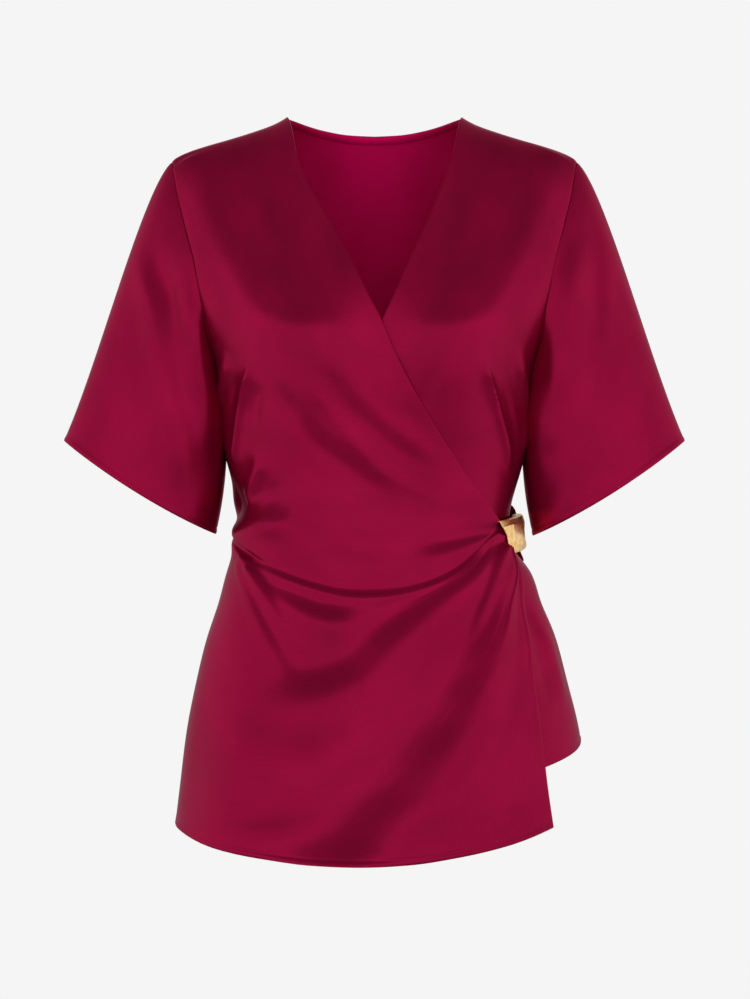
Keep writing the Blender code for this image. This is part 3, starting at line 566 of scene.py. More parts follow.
def fan(rows, columns):
    side = math.copysign(1, rows[0][3][0])
    starts, firsts, seconds, ends, lifts = [], [], [], [], []
    for start, first, second, end, lift in rows:
        start = np.array(on_seam(side, start[1]) if start[0] is SEAM else turn_and_fall(*start))
        end = np.array(turn_and_fall(*end))
        starts.append(start)
        ends.append(end)
        firsts.append(turn_and_fall(*first) if first else start + (end - start) / 3)
        seconds.append(turn_and_fall(*second) if second else start + (end - start) * 2 / 3)
        lifts.append(lift)
    middles = (np.array(firsts) + np.array(seconds)) / 2
    place = lengths_along(middles * (GIRTH, BUST_DROP))
    at = np.concatenate([np.linspace(low, high, max(4, math.ceil((high - low) / LINE_STEP)),
                                     endpoint=False) for low, high in zip(place[:-1], place[1:])])
    at = np.append(at, place[-1])
    starts, firsts, seconds, ends, lifts = [smooth_table(place, table, at)
                                            for table in (starts, firsts, seconds, ends, lifts)]
    at_armhole = starts[:, 1] < fall_at(UNDERARM_DROP)
    starts[at_armhole, 0] = armhole_turn(side, starts[at_armhole, 1])
    t = np.linspace(0, 1, columns)
    thirds = np.stack((starts, firsts, seconds, ends), 1)
    turn, fall = [np.stack([spline(THIRDS, row[:, k], t) for row in thirds]) for k in (0, 1)]
    at_start = np.where(starts[:, 1] > fall_at(SIDE_SEAM_END), lifts[:, 0], 0)  # 0 along the seam
    lift = np.stack([smooth(LIFT_STATIONS, (first, *row, row[3] * END_LIFT), t)
                     for first, row in zip(at_start, lifts)])
    return turn, fall, lift, t


def lay(turn, fall, lift, front=True):
    """A sheet lifted off the figure, the figure below it, and the way outwards."""
    base, normal = on_figure(turn, fall, front), normal_on_figure(turn, fall, front)
    return base + normal * lift[..., None], base, normal


# %% [markdown]
# ## Hems and seams
# A narrow hem is turned twice and stitched, so the cloth is thicker up to the row of stitches
# and dips along it. At a seam the cloth dips too. The stitches themselves are too fine to show,
# so no thread is modelled. `edge_lift` gives the thickening and the dips to a sheet, from how
# far each point lies from an edge, and `sewn` adds them to its folds.

# %% Edges
HEM, HEM_RISE, HEM_SLOPE = 5.5, 0.45, 1.5       # from the edge to the stitches, up, and to rise
STITCH_DIP, STITCH_WIDTH = 0.4, 0.9
SEAM_DIP, SEAM_WIDTH = 0.5, 1.1


def edge_lift(sheet, edge, kind):
    away = nearest(sheet.reshape(-1, 3), np.asarray(edge))[0].reshape(sheet.shape[:2])
    if kind == "seam":
        return -SEAM_DIP * np.exp(-(away / SEAM_WIDTH) ** 2)
    turned = HEM_RISE * ease(away / HEM_SLOPE) * ease((HEM - away) / HEM_SLOPE)
    return turned - STITCH_DIP * np.exp(-((away - HEM) / STITCH_WIDTH) ** 2)


def sewn(sheet, base, normal, folds, edges, front=True):
    """The sheet with its folds and its stitched edges, and the way outwards."""
    lift = fold_lift(base, folds, front)
    for edge, kind in edges:
        lift = lift + edge_lift(sheet, edge, kind)
    return sheet + normal * lift[..., None], normal


# %% [markdown]
# ## The over-front
# This is the wearer's right front. Its folds come from the pull of the clasp: soft diagonals
# below the bust, two close crests right across the waist, swags below them, and long folds
# that fall from the clasp to the hem. A cloth simulation finds folds of this kind, but never
# the same ones in the same places, so each of them is written down as a path.

# %% Folds of the over-front
OVER_FOLDS = (
    # shape, height, width, fade, places
    # the chest turns from its slope to the light here
    ("round", 1.7, 15, (0.02, 0.2), ((-182, -38), (-167, -72), (-152, -108), (-136, -142),
         (-122, -172), (-110, -193), (-92, -203), (-60, -206), (-30, -206), (0, -205))),
    # diagonals from the bust to the clasp
    ("step", -1.0, 9, (0.2, 0.3), ((-60, -226), (-45, -241), (-30, -259), (-10, -284), (12, -303),
         (40, -326), (62, -345))),
    ("round", 1.3, 7, (0.2, 0.3), ((-75, -240), (-55, -265), (-40, -285), (-25, -303), (-8, -321),
         (8, -338), (24, -349), (44, -361), (66, -373), (90, -385))),
    ("step", -1.8, 10, (0.2, 0.3), ((-88, -248), (-72, -275), (-60, -294), (-45, -310),
         (-28, -323), (-8, -341), (8, -356), (24, -370), (42, -381))),
    # from the underarm down the side
    ("sharp", 6.0, 4.2, (0.2, 0.2), ((-116, -236), (-120.5, -258), (-125.5, -284), (-129.5, -313),
         (-132.5, -342))),
    ("round", 4.2, 9, (0.2, 0.2), ((-137, -228), (-143.5, -263), (-145.5, -285), (-145, -305))),
    ("round", -1.8, 5, (0.4, 0.4), ((-128, -246), (-133, -270), (-137, -292))),
    ("round", -1.8, 8, (0.3, 0.4), ((-107, -256), (-112, -282), (-115, -306))),
    ("round", 4.0, 8, (0.3, 0.2), ((-103, -322), (-111, -345), (-124, -372))),
    # the waist, left and right
    ("step", 6.5, 15, (0.05, 0.45), ((-132, -386), (-112, -382), (-92, -378), (-64, -372))),
    ("step", (1.4, 1.7), (10, 5), (0.4, 0.02), ((30, -423), (50, -417.5), (70, -413), (90, -407),
         (105, -402.5), (119, -399))),
    # the fan at the left
    ("step", (2.2, 2.2), (5, 7), (0.08, 0.4), ((-121, -418), (-115.5, -429), (-105, -447),
         (-95, -465), (-85, -480), (-72, -495))),
    ("step", (1.8, 2.8), (5, 13), (0.05, 0.3), ((-116, -430), (-101, -445), (-88, -456),
         (-72, -465), (-52, -473), (-32, -476), (-6, -468))),
    ("step", (1.5, 2.2), (4, 8), (0.1, 0.4), ((-127, -424), (-119, -443), (-110, -465),
         (-99, -490), (-86, -518), (-70, -542))),
    # the swag from the clasp, and the fainter one under it
    ("step", (4.2, 1.8), (22, 6), (0.25, 0.03), ((-118, -542), (-80, -542), (-50, -538),
         (-35, -533), (-18, -526), (0, -508), (20, -490), (40, -473), (60, -457), (80, -444),
         (100, -427), (117, -408))),
    ("step", 4.6, 50, (0.3, 0.4), ((-165, -570), (-110, -584), (-60, -594), (6, -602))),
    # the hem flares at the left
    ("round", 10, 58, (0.3, 0.3), ((-190, -728), (-110, -742), (-40, -742), (40, -740))),
    # long folds from the clasp to the hem
    ("step", 1.6, 4.5, (0.4, 0.05), ((86, -504), (93, -485), (98, -470), (103, -455), (108, -440),
         (113, -425), (118, -410))),
    ("step", (14, 1.8), (49, 8), (0.0, 0.1), ((-130, -848), (-46, -703), (-18, -681), (5, -661),
         (25, -640), (38, -619), (53, -598), (68, -578), (77, -557), (88, -536), (95, -516),
         (104, -496), (113, -470), (120, -446))),
)
print("folds of the over-front:", len(OVER_FOLDS))


# %% Over-front
OVERLAP_LIFT = 4.0                  # it rides this far outside the under-front,
OVERLAP_FALL, OVERLAP_FALL_OVER = 1.0, 0.45     # from this fall on,
OVERLAP_TURN, OVERLAP_TURN_OVER = 0.6, 0.5      # and no further past it than this turn
CLASP_LIFT, CLASP_REACH = 7.5, 0.3  # the gathered ends rise into the clasp over this share
GATHERED_FROM, GATHERED_OVER = 335.0, 0.22      # lines that end below this level are gathered


def overlap_lift(turn, fall):
    edge = np.array([row[3] for row in UNDER_FRONT], float)
    edge_turn, edge_fall = turn_and_fall(edge[:, 0], edge[:, 1])
    past = smooth(edge_fall, edge_turn, fall) + OVERLAP_TURN - turn
    return (OVERLAP_LIFT * ease((fall - OVERLAP_FALL) / OVERLAP_FALL_OVER)
            * ease(past / OVERLAP_TURN_OVER))


def over_front():
    turn, fall, lift, t = fan(OVER_FRONT, OVER_COLUMNS)
    gathered = ease((fall[:, -1:] - fall_at(GATHERED_FROM)) / GATHERED_OVER)
    into_clasp = np.maximum((t - 1 + CLASP_REACH) / CLASP_REACH, 0) ** 2
    lift = lift + overlap_lift(turn, fall) + CLASP_LIFT * gathered * into_clasp
    sheet, base, normal = lay(turn, fall, lift)
    on_hem = int(np.argmax(fall[:, 0] > fall_at(SIDE_SEAM_END)))
    hem, seam = np.concatenate((sheet[on_hem:, 0], sheet[-1])), sheet[:on_hem + 1, 0]
    return sewn(sheet, base, normal, OVER_FOLDS, ((hem, "hem"), (seam, "seam")))


front_over_cloth = cloth("front_over_cloth", *over_front())
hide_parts("front_over")
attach(front_over_cloth, "root")


# %% [markdown]
# ## The under-front
# The wearer's left front lies flat on the body beneath the other one. Its edge forms the other
# side of the V, and a short tail of it shows beside the free edge of the over-front. It could
# end where the other front covers it, but a look up through the hem would show the cut. So it
# runs on, and keeps a little further in where the folds above press on it.

# %% Under-front
UNDER_FOLDS = (
    ("round", 1.7, 15, (0.02, 0.2), ((180, -34), (168, -58), (152, -98), (137, -138), (123, -168),
         (112, -192), (90, -203), (60, -206), (20, -206))),
    ("sharp", 5.0, 3.8, (0.2, 0.3), ((101, -233), (107, -254), (113, -274), (118, -292),
         (123.5, -311), (127, -332), (129, -352))),
    ("round", -1.0, 5, (0.4, 0.4), ((118, -250), (126, -276), (132, -302), (134, -330))),
    ("round", 4.2, 9, (0.2, 0.3), ((135, -222), (141, -262), (143, -300), (138, -335))),
    ("round", -1.2, 9, (0.4, 0.4), ((62, -232), (54, -252), (46, -276), (44, -300))),
    ("round", -3.0, 9, (0.2, 0.4), ((134, -455), (150, -490), (160, -530), (166, -575))),
    ("round", 2.0, 10, (0.3, 0.3), ((158, -485), (172, -530), (180, -570))),
)
TUCK = 6.0                          # further in where the over-front's folds press on it,
TUCK_TURN, TUCK_TURN_OVER = 0.75, 0.5           # from this turn on, in radians,
TUCK_DROP, TUCK_FALL_OVER = 395.0, 0.3          # and below this level


def under_front():
    turn, fall, lift, t = fan(UNDER_FRONT, UNDER_COLUMNS)
    tucked = (ease((turn - TUCK_TURN) / TUCK_TURN_OVER)
              * ease((fall - fall_at(TUCK_DROP)) / TUCK_FALL_OVER))
    sheet, base, normal = lay(turn, fall, lift - TUCK * tucked)
    return sewn(sheet, base, normal, UNDER_FOLDS, ((sheet[-1], "hem"), (sheet[:, 0], "seam")))


front_under_cloth = cloth("front_under_cloth", *under_front())
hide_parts("front_under")
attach(front_under_cloth, "root")


# %% [markdown]
# ## The back
# The back is cut in one piece. It follows the shoulder blades, hollows at the waist, where the
# tab draws it into a few shallow folds across, and flares to a curved hem that rises towards
# the side with the clasp. Nothing pulls it slantwise, so its lines need no fan: they start out
# along the neck, lie level below the arms, and end in the curve of the hem.

# %% Tables and folds of the back
BACK_NECK = ((0, -11.3), (25, -10.3), (48, -7.3), (68, -3.4), (80, -0.8), (NECK_HALF, 0))
BACK_HEM = ((-190, -676), (-130, -690), (-60, -692), (20, -684), (100, -660), (160, -630),
            (200, -598))
# lines of the back below the underarm: level at the side seams, sag in the middle, and lifts
BACK_LINES = (
    # level   sag    lift near the seams, in the middle
    (-300,    2,     0, 0),
    (-325,    5,     2, 3),
    (-348,    8,     0, 0),
    (-368,    11,    2, 5),
    (-384,    14,    0, 1),
    (-398,    16,    2, 6),
    (-412,    16,    0, 1),
    (-428,    14,    1, 4),
    (-452,    10,    0, 0),
    (-495,    6,     0, 0),
    (-545,    3,     0, 0),
)
NECK_BAND = 10.0                    # the back's second line runs this far below its top edge
BACK_FOLDS = (
    ("sharp", 2.2, 6, (0.3, 0.4), ((118, -250), (124, -290), (128, -335), (126, -370))),
    ("sharp", 2.2, 6, (0.3, 0.4), ((-116, -246), (-122, -285), (-127, -330), (-125, -372))),
    ("round", -2.0, 12, (0.3, 0.4), ((100, -262), (106, -300), (104, -345))),
    ("round", -2.0, 12, (0.3, 0.4), ((-98, -258), (-104, -298), (-101, -348))),
    ("round", 2.4, 14, (0.2, 0.5), ((124, -405), (70, -428), (10, -448), (-50, -452))),
    ("round", -2.0, 10, (0.2, 0.5), ((124, -412), (80, -444), (25, -474), (-30, -490))),
    ("round", 2.2, 16, (0.2, 0.5), ((128, -420), (98, -468), (60, -520), (25, -575), (-5, -640))),
    ("round", -2.4, 14, (0.2, 0.5), ((128, -425), (108, -478), (80, -535), (52, -600))),
    ("round", 1.8, 12, (0.3, 0.5), ((-122, -402), (-80, -430), (-30, -436), (30, -428))),
    ("round", -1.8, 14, (0.3, 0.5), ((-60, -470), (-78, -540), (-88, -610))),
)
print("rows of the back:", len(BACK_LINES), "and its folds:", len(BACK_FOLDS))


# %% Back
BACK_COLUMNS, SHOULDER_COLUMNS = 156, 26        # points across it, and along a shoulder seam
BAND_LINES, YOKE_LINES, SKIRT_LINES = 4, 79, 45     # in the neck band, from there to the
                                    # underarm, and in the skirt
LEVEL_STEP = 3.0                    # between the lines from the underarm down to the skirt
NECK_FADE = 1.6                     # how soon the lines below the neck lose its curve
HEM_DROP = 660.0                    # the hem's table is read at the back's width at this level


def top_of_back():
    """The turns and falls of its points along the shoulder seams and the neck."""
    neck_angle = np.linspace(-math.pi / 2, math.pi / 2, BACK_COLUMNS - 2 * SHOULDER_COLUMNS)
    shoulder = np.linspace(NECK_HALF, SHOULDER_HALF, SHOULDER_COLUMNS + 1)[1:]
    x = np.concatenate((-shoulder[::-1], NECK_HALF * np.sin(neck_angle), shoulder))
    neck = np.array(BACK_NECK, float)
    in_neck = np.abs(x) < NECK_HALF - 0.01
    z = np.where(in_neck, smooth(neck[:, 0], neck[:, 1], np.abs(x)), shoulder_height(x))
    turn, fall = turn_and_fall(x, z, front=False)
    return turn, np.where(in_neck, fall, 0.0)


def back_panel():
    top_turn, top_fall = top_of_back()
    share = (top_turn - top_turn[0]) / (top_turn[-1] - top_turn[0])
    straight, flat = math.pi * (1 - share), np.zeros(BACK_COLUMNS)
    below = on_figure(top_turn, top_fall + 0.01, False) - on_figure(top_turn, top_fall, False)
    band = NECK_BAND * 0.01 / np.linalg.norm(below, axis=1)
    rows = []                       # turns, falls and lifts of each line
    for part, in_band in ([(0, k / BAND_LINES) for k in range(BAND_LINES + 1)]
                          + [(part, 1) for part in np.linspace(0, 1, YOKE_LINES + 1)[1:]]):
        fall = (fall_at(UNDERARM_DROP) * part
                + (top_fall + band * in_band) * (1 - part) ** NECK_FADE)
        side_turn = armhole_turn(1, fall[0], front=False)
        rows.append((math.pi - side_turn + share * (2 * side_turn - math.pi), fall, flat))
    levels, hem = np.array(BACK_LINES, float), np.array(BACK_HEM, float)
    stations = -np.append(-UNDERARM_DROP, levels[:, 0])
    for level in np.arange(-UNDERARM_DROP - LEVEL_STEP, levels[-1, 0], -LEVEL_STEP):
        sag, at_seam, in_middle = [smooth(stations, np.append(0, levels[:, k]), -level)
                                   for k in (1, 2, 3)]
        lift = smooth((0, 0.25, 1), (0, at_seam, in_middle), 1 - np.abs(2 * share - 1))
        rows.append((straight, fall_at(-level + sag * np.sin(math.pi * share)), lift))
    hem_x = on_figure(straight, np.full(BACK_COLUMNS, fall_at(HEM_DROP)), front=False)[:, 0]
    last, hem_fall = rows[-1][1], fall_at(-smooth(hem[:, 0], hem[:, 1], hem_x))
    for part in np.linspace(0, 1, SKIRT_LINES + 1)[1:]:
        rows.append((straight, last + (hem_fall - last) * part, flat))
    sheet, base, normal = lay(*np.array(rows).transpose(1, 0, 2), front=False)
    edges = [(sheet[-1], "hem")] + [(edge, "seam") for edge in (
        sheet[:, 0], sheet[:, -1], sheet[0, :SHOULDER_COLUMNS + 1],
        sheet[0, -SHOULDER_COLUMNS - 1:])]
    return sewn(sheet, base, normal, BACK_FOLDS, edges, front=False)


back_sheet, back_normal = back_panel()
back_cloth = cloth("back_cloth", back_sheet, back_normal)
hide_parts("back")
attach(back_cloth, "root")


# %% [markdown]
# ## The neck binding
# A strip of the same satin is sewn along the back neck and turned to the inside, face out. A
# curve with a flat section would have to be fitted to the neckline. Here it is laid on the
# back's own points, moved in by the thickness of the cloth, so it cannot cut in.

# %% Neck binding
BINDING, BINDING_GAP, BINDING_PUFF = 0.8, 0.15, 0.5     # its thickness, and how far in it lies
BINDING_FROM, BINDING_TO, BINDING_LINES = 0.04, 0.8, 9  # shares of the neck band that it covers


def neck_binding():
    in_neck = slice(SHOULDER_COLUMNS, -SHOULDER_COLUMNS)
    share = np.linspace(BINDING_FROM, BINDING_TO, BINDING_LINES)[:, None, None]
    place, outward = [table[0, in_neck] * (1 - share) + table[BAND_LINES, in_neck] * share
                      for table in (back_sheet, back_normal)]
    outward = unit(outward)
    puff = BINDING_PUFF * np.sin(np.pi * np.linspace(0, 1, BINDING_LINES))[:, None, None]
    return place - outward * (CLOTH / 2 + BINDING / 2 + BINDING_GAP + puff), -outward


neck_binding_cloth = cloth("neck_binding_cloth", *neck_binding(), BINDING, edge=0.25)
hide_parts("back_neck_binding")
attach(neck_binding_cloth, "root")


# %% [markdown]
# ## The sleeves
# A real sleeve is a tube that leaves the shoulder outwards, falls under its own weight and opens
# wide to a slanting hem. Extruding the armhole would give a stiff pipe. So each of its points
# runs to its own point of the hem on a curve, which sets out along the shoulder and comes in
# downwards. One long fold drops down the front, and the inner side closes in beside the body.

# %% Tables of the sleeves
SLEEVE_LINES, SLEEVE_COLUMNS = 100, 160
CUFF_OUTER, CUFF_INNER = (-299.0, -311.0), (-153.5, -401.0)     # ends of the right hem, x and z
CUFF_DROP = 1.5                     # the inner end hangs this much lower on the left sleeve
CUFF_DEPTH, CUFF_BOW = 96.0, 5.5
UNDERARM_GAP, TIP_GAP = 0.6, 0.1
# how it sets out and comes in, under the arm and on top: away from the body, and up
OUT_AT_SEAM, UP_AT_SEAM = (18.0, 80.0), (-150.0, -75.0)
OUT_AT_CUFF, UP_AT_CUFF = (20.0, 95.0), (-150.0, -210.0)
AHEAD_AT_SEAM = 10.0
# its inner side is pressed in along the body, and a little more in two lobes beside that
INNER_BEND, INNER_WIDTH = 8.0, 0.8
INNER_LOBES, LOBE_ANGLE, LOBE_WIDTH = 5.0, 2.5, 0.35
PRESSED_HIGH = 0.6                  # under 1, it is pressed in most above the middle
FACING, FACING_OVER = 0.2, 0.5      # a fold shows on the side that faces forwards or back
SEAM_POINTS, PATH_POINTS = 60, 30
SLEEVE_FOLDS = {
    # on the right sleeve and the left one, seen from the front
    -1: (
        ("step", (4.6, 4.2), (9, 13), (0.2, 0.25), ((-214, -122), (-210, -155), (-202, -190),
             (-196, -222), (-190, -255), (-182, -288), (-177, -325), (-174, -375))),
        ("step", 3.0, 10, (0.3, 0.2), ((-180, -140), (-172, -175), (-166, -205), (-162, -240),
             (-160, -290), (-158, -350))),
    ),
    1: (
        ("step", 3.0, 11, (0.3, 0.3), ((168, -300), (168, -260), (170, -225), (176, -190),
             (181, -150), (191, -105))),
        ("step", 1.1, 7, (0.4, 0.4), ((212, -285), (214, -230), (217, -175), (215, -130),
             (213, -90))),
        ("step", 1.6, 14, (0.4, 0.3), ((172, -392), (180, -345), (186, -305))),
    ),
}
SLEEVE_FOLDS_BEHIND = (
    ("step", 2.4, 8, (0.2, 0.2), ((163, -300), (167, -250), (176, -195), (190, -110))),
    ("round", 1.8, 10, (0.4, 0.3), ((232, -330), (226, -270), (218, -200), (212, -140))),
)
print("folds of the sleeves:", len(SLEEVE_FOLDS[-1]), "and", len(SLEEVE_FOLDS[1]))


# %% Sleeves
def bare_sleeve(side, angle):
    """A tube from the armhole to the hem; angle 0 is on top, pi beside the body."""
    seam = np.linspace(0, fall_at(UNDERARM_DROP), SEAM_POINTS)
    front, back = (resample(on_figure(armhole_turn(side, seam, ahead), seam, ahead),
                            SLEEVE_COLUMNS // 2 + 1) for ahead in (True, False))
    start = np.concatenate((front, back[::-1][1:-1]))
    on_top, nothing = (1 + np.cos(angle)) / 2, np.zeros(SLEEVE_COLUMNS)

    def ends(pair):
        return np.interp(on_top, (0, 1), pair)

    start[:, 0] += side * ends((UNDERARM_GAP, TIP_GAP))
    outer, inner = np.array(CUFF_OUTER), np.array(CUFF_INNER)
    if side > 0:
        inner = inner - (0, CUFF_DROP)
    centre, half = (outer + inner) / 2, (outer - inner) / 2
    end = np.stack([-side * (centre[0] + half[0] * np.cos(angle)), -CUFF_DEPTH / 2 * np.sin(angle),
                    centre[1] + half[1] * np.cos(angle) - CUFF_BOW * np.sin(angle) ** 2], -1)
    leave = np.stack([side * ends(OUT_AT_SEAM), -AHEAD_AT_SEAM * np.sin(angle),
                      ends(UP_AT_SEAM)], -1)
    arrive = np.stack([side * ends(OUT_AT_CUFF), nothing, ends(UP_AT_CUFF)], -1)
    return hermite(np.linspace(0, 1, SLEEVE_LINES)[:, None, None], start, leave, end, arrive)


def sleeve(side):
    angle = np.arange(SLEEVE_COLUMNS) * 2 * math.pi / SLEEVE_COLUMNS
    sheet = bare_sleeve(side, angle)
    around = np.roll(sheet, -1, axis=1) - np.roll(sheet, 1, axis=1)
    normal = unit(np.cross(around, np.gradient(sheet, axis=0)) * side)
    if np.sum(normal * (sheet - sheet.mean(axis=1, keepdims=True))) < 0:
        normal = -normal
    seen_flat = sheet * (1, 0, 1)
    for front, folds in ((True, SLEEVE_FOLDS[side]), (False, SLEEVE_FOLDS_BEHIND)):
        half_tube = ease(((-normal[..., 1] if front else normal[..., 1]) - FACING) / FACING_OVER)
        for shape, height, width, fade, places in folds:
            path = np.array([(x if front else side * x, 0.0, z) for x, z in places])
            lift = lift_along(seen_flat, resample(path, PATH_POINTS), shape, height, width, fade)
            sheet = sheet + normal * (lift * half_tube)[..., None]
    down = np.linspace(0, 1, SLEEVE_LINES)[:, None]
    from_top = np.minimum(angle, 2 * math.pi - angle)
    pressed = (INNER_LOBES * np.exp(-((from_top - LOBE_ANGLE) / LOBE_WIDTH) ** 2)
               + INNER_BEND * np.exp(-((from_top - math.pi) / INNER_WIDTH) ** 2))
    sheet[..., 0] -= side * pressed * np.sin(math.pi * down ** PRESSED_HIGH)
    closed = sheet[-1, np.append(np.arange(SLEEVE_COLUMNS), 0)]
    return sheet + normal * edge_lift(sheet, closed, "hem")[..., None], normal


for side, name in ((-1, "sleeve_right"), (1, "sleeve_left")):
    item = cloth(name + "_cloth", *sleeve(side), wraps=True)
    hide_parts(name)
    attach(item, "root")


# %% [markdown]
# ## The tab
# A folded tab of the same satin runs out of the back of the clasp and is sewn on behind the
# side seam, where it fans out. A bent strip would show raw edges, but the real one is a tube
# pressed flat. So it is a row of flat rings beside the waist, joined, with pleats along it.

# %% Tab
TAB_THICK, TAB_CLOTH, TAB_LINES, TAB_COLUMNS = 4.0, 0.8, 44, 72
PLEAT_HEIGHT, PLEATS = 0.7, 3.2     # its pleats run along it, so many across each face
TAB_STATIONS = np.array([
    # turn   half height  level   out from the figure
    (0.24,   8.5,         -401.0,  10.6),
    (0.06,   9.0,         -399.0,  10.6),
    (-0.12,  11.0,        -398.0,  9.6),
    (-0.19,  19.0,        -398.5,  8.6),
    (-0.26,  26.0,        -400.5,  7.2),
    (-0.40,  30.0,        -401.0,  6.4),
])


def beside_waist(turn, level, out):
    """A place some way out from the figure beside the waist, and the level way outwards."""
    turn = np.asarray(turn, float)
    fall = fall_at(-np.broadcast_to(level, turn.shape))
    behind = (turn < 0)[..., None]
    point = np.where(behind, on_figure(-turn, fall, False), on_figure(turn, fall))
    normal = np.where(behind, normal_on_figure(-turn, fall, False), normal_on_figure(turn, fall))
    normal = unit(normal * (1, 1, 0))
    return point + normal * np.asarray(out)[..., None], normal


def tab():
    angle = np.arange(TAB_COLUMNS) * 2 * math.pi / TAB_COLUMNS
    stations = np.arange(len(TAB_STATIONS))
    pleats = (PLEAT_HEIGHT * np.cos(np.sin(angle) * PLEATS * math.pi)
              * np.abs(np.cos(angle)) ** 0.5)
    thick = np.cos(angle) * (TAB_THICK / 2 + pleats)
    sheet, normal = [], []
    for turn, half_height, level, out in smooth_table(
            stations, TAB_STATIONS, np.linspace(0, stations[-1], TAB_LINES)):
        height = level + np.sin(angle) * half_height
        ring, outward = beside_waist(np.full(TAB_COLUMNS, turn), height, out + thick)
        around = np.roll(ring, -1, axis=0) - np.roll(ring, 1, axis=0)
        side = unit(np.cross(around, np.cross(outward, (0, 0, 1))))
        sheet.append(ring)
        normal.append(side * np.sign(np.sum(side * (ring - ring.mean(axis=0)))))
    return np.array(sheet), np.array(normal)


tab_cloth = cloth("side_tab_cloth", *tab(), TAB_CLOTH, wraps=True, edge=0)
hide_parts("side_tab")
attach(tab_cloth, "root")


# %% [markdown]
# ## The clasp
# The real clasp is a gold-plated casting: a flattened cuff like a crumpled ribbon of foil, open
# at both ends, that the gathered cloth runs through. Bending a smooth tube would give soft
# waves. So it starts as a straight box: the ends are opened, the long edges rounded, the sides
# cut into bands. Single corners are then pushed in and out, which makes flat facets, and last
# each ring of corners is turned and moved to its place beside the waist.

# %% Picking in edit mode
def pick(kind, test):
    """Select what passes a test of its middle, given in millimetres, and go back to edit mode."""
    bpy.ops.mesh.select_mode(type=kind)
    bpy.ops.mesh.select_all(action="DESELECT")
    bpy.ops.object.mode_set(mode="OBJECT")
    mesh = bpy.context.object.data
    for part in {"VERT": mesh.vertices, "EDGE": mesh.edges, "FACE": mesh.polygons}[kind]:
        corners = [part.index] if kind == "VERT" else part.vertices
        middle = np.mean([mesh.vertices[corner].co for corner in corners], axis=0) / MM
        part.select = bool(test(*middle))
    bpy.ops.object.mode_set(mode="EDIT")


# %% A straight cuff, opened, rounded and cut into bands
CLASP_LENGTH, CLASP_THICK, CLASP_HEIGHT = 60.0, 10.8, 32.5
CLASP_ROUND = 3.4                               # of its long edges
CLASP_LEVEL, CLASP_WALL = -402.5, 1.4
NEAR = 0.1                                      # nearer than this is the same place
CLASP_BANDS = (0.16, 0.36, 0.56, 0.78)          # cuts across it, as shares of its length
CLASP_ROWS = (-9.0, 0.5, 9.5)                   # cuts along it, heights from its middle

bpy.ops.object.select_all(action="DESELECT")
bpy.ops.mesh.primitive_cube_add(size=1)
clasp = bpy.context.object
clasp.name = "gold_clasp"
bpy.ops.object.mode_set(mode="EDIT")
bpy.ops.transform.resize(value=(CLASP_LENGTH * MM, CLASP_THICK * MM, CLASP_HEIGHT * MM))
bpy.ops.transform.translate(value=(CLASP_LENGTH / 2 * MM, 0, 0))
pick("FACE", lambda x, y, z: x < NEAR or x > CLASP_LENGTH - NEAR)
bpy.ops.mesh.delete(type="ONLY_FACE")
pick("EDGE", lambda x, y, z: abs(y) > 1 and abs(z) > 1 and 1 < x < CLASP_LENGTH - 1)
bpy.ops.mesh.bevel(offset=CLASP_ROUND * MM, segments=2, profile=0.6)
for share in CLASP_BANDS:
    bpy.ops.mesh.select_all(action="SELECT")
    bpy.ops.mesh.bisect(plane_co=(share * CLASP_LENGTH * MM, 0, 0), plane_no=(1, 0, 0))
for row in CLASP_ROWS:
    bpy.ops.mesh.select_all(action="SELECT")
    bpy.ops.mesh.bisect(plane_co=(0, 0, row * MM), plane_no=(0, 0, 1))
bpy.ops.object.mode_set(mode="OBJECT")
print("cuff cut into", len(clasp.data.polygons), "faces")


# %% Crumpling
# a corner of the outer side by its ring, along the cuff, and its row, and how far it moves
CLASP_CORNERS = (
    # ring row  along  out   up
    (0,    0,   0.0,  -0.6,  0.0),
    (0,    1,   3.5,  -1.2,  0.0),
    (0,    2,  -1.0,   1.2,  0.3),
    (1,    0,   0.5,   1.4, -0.5),
    (1,    1,  -1.0,   2.6, -1.0),
    (1,    2,   2.0,   2.8,  0.8),
    (2,    0,  -2.0,   2.4,  0.9),
    (2,    1,   2.0,   2.2, -2.5),
    (2,    2,   0.5,   2.8, -0.5),
    (3,    0,   1.5,   0.5, -0.4),
    (3,    1,  -2.0,   1.4,  2.0),
    (3,    2,   1.0,   1.0,  0.5),
    (4,    0,  -1.0,  -0.5,  0.6),
    (4,    1,   1.5,  -0.7, -1.5),
    (4,    2,   0.0,   0.8, -0.6),
    (5,    0,   0.5,   0.5,  0.0),
    (5,    1,  -1.5,   0.7,  1.0),
    (5,    2,   1.0,  -0.4,  0.4),
)
stations = np.array((0.0,) + CLASP_BANDS + (1.0,)) * CLASP_LENGTH
places = np.array([vertex.co for vertex in clasp.data.vertices]) / MM
rings = [np.flatnonzero(np.abs(places[:, 0] - station) < NEAR) for station in stations]
turn_on(clasp)
bpy.ops.object.mode_set(mode="EDIT")
for ring, row, along, out, up in CLASP_CORNERS:
    pick("VERT", lambda x, y, z: abs(x - stations[ring]) < NEAR and y < 0
         and abs(z - CLASP_ROWS[row]) < NEAR)
    bpy.ops.transform.translate(value=(along * MM, -out * MM, up * MM))
bpy.ops.mesh.select_all(action="SELECT")
bpy.ops.mesh.quads_convert_to_tris(quad_method="BEAUTY")
bpy.ops.object.mode_set(mode="OBJECT")
print("corners moved:", len(CLASP_CORNERS), "in", len(rings), "rings")


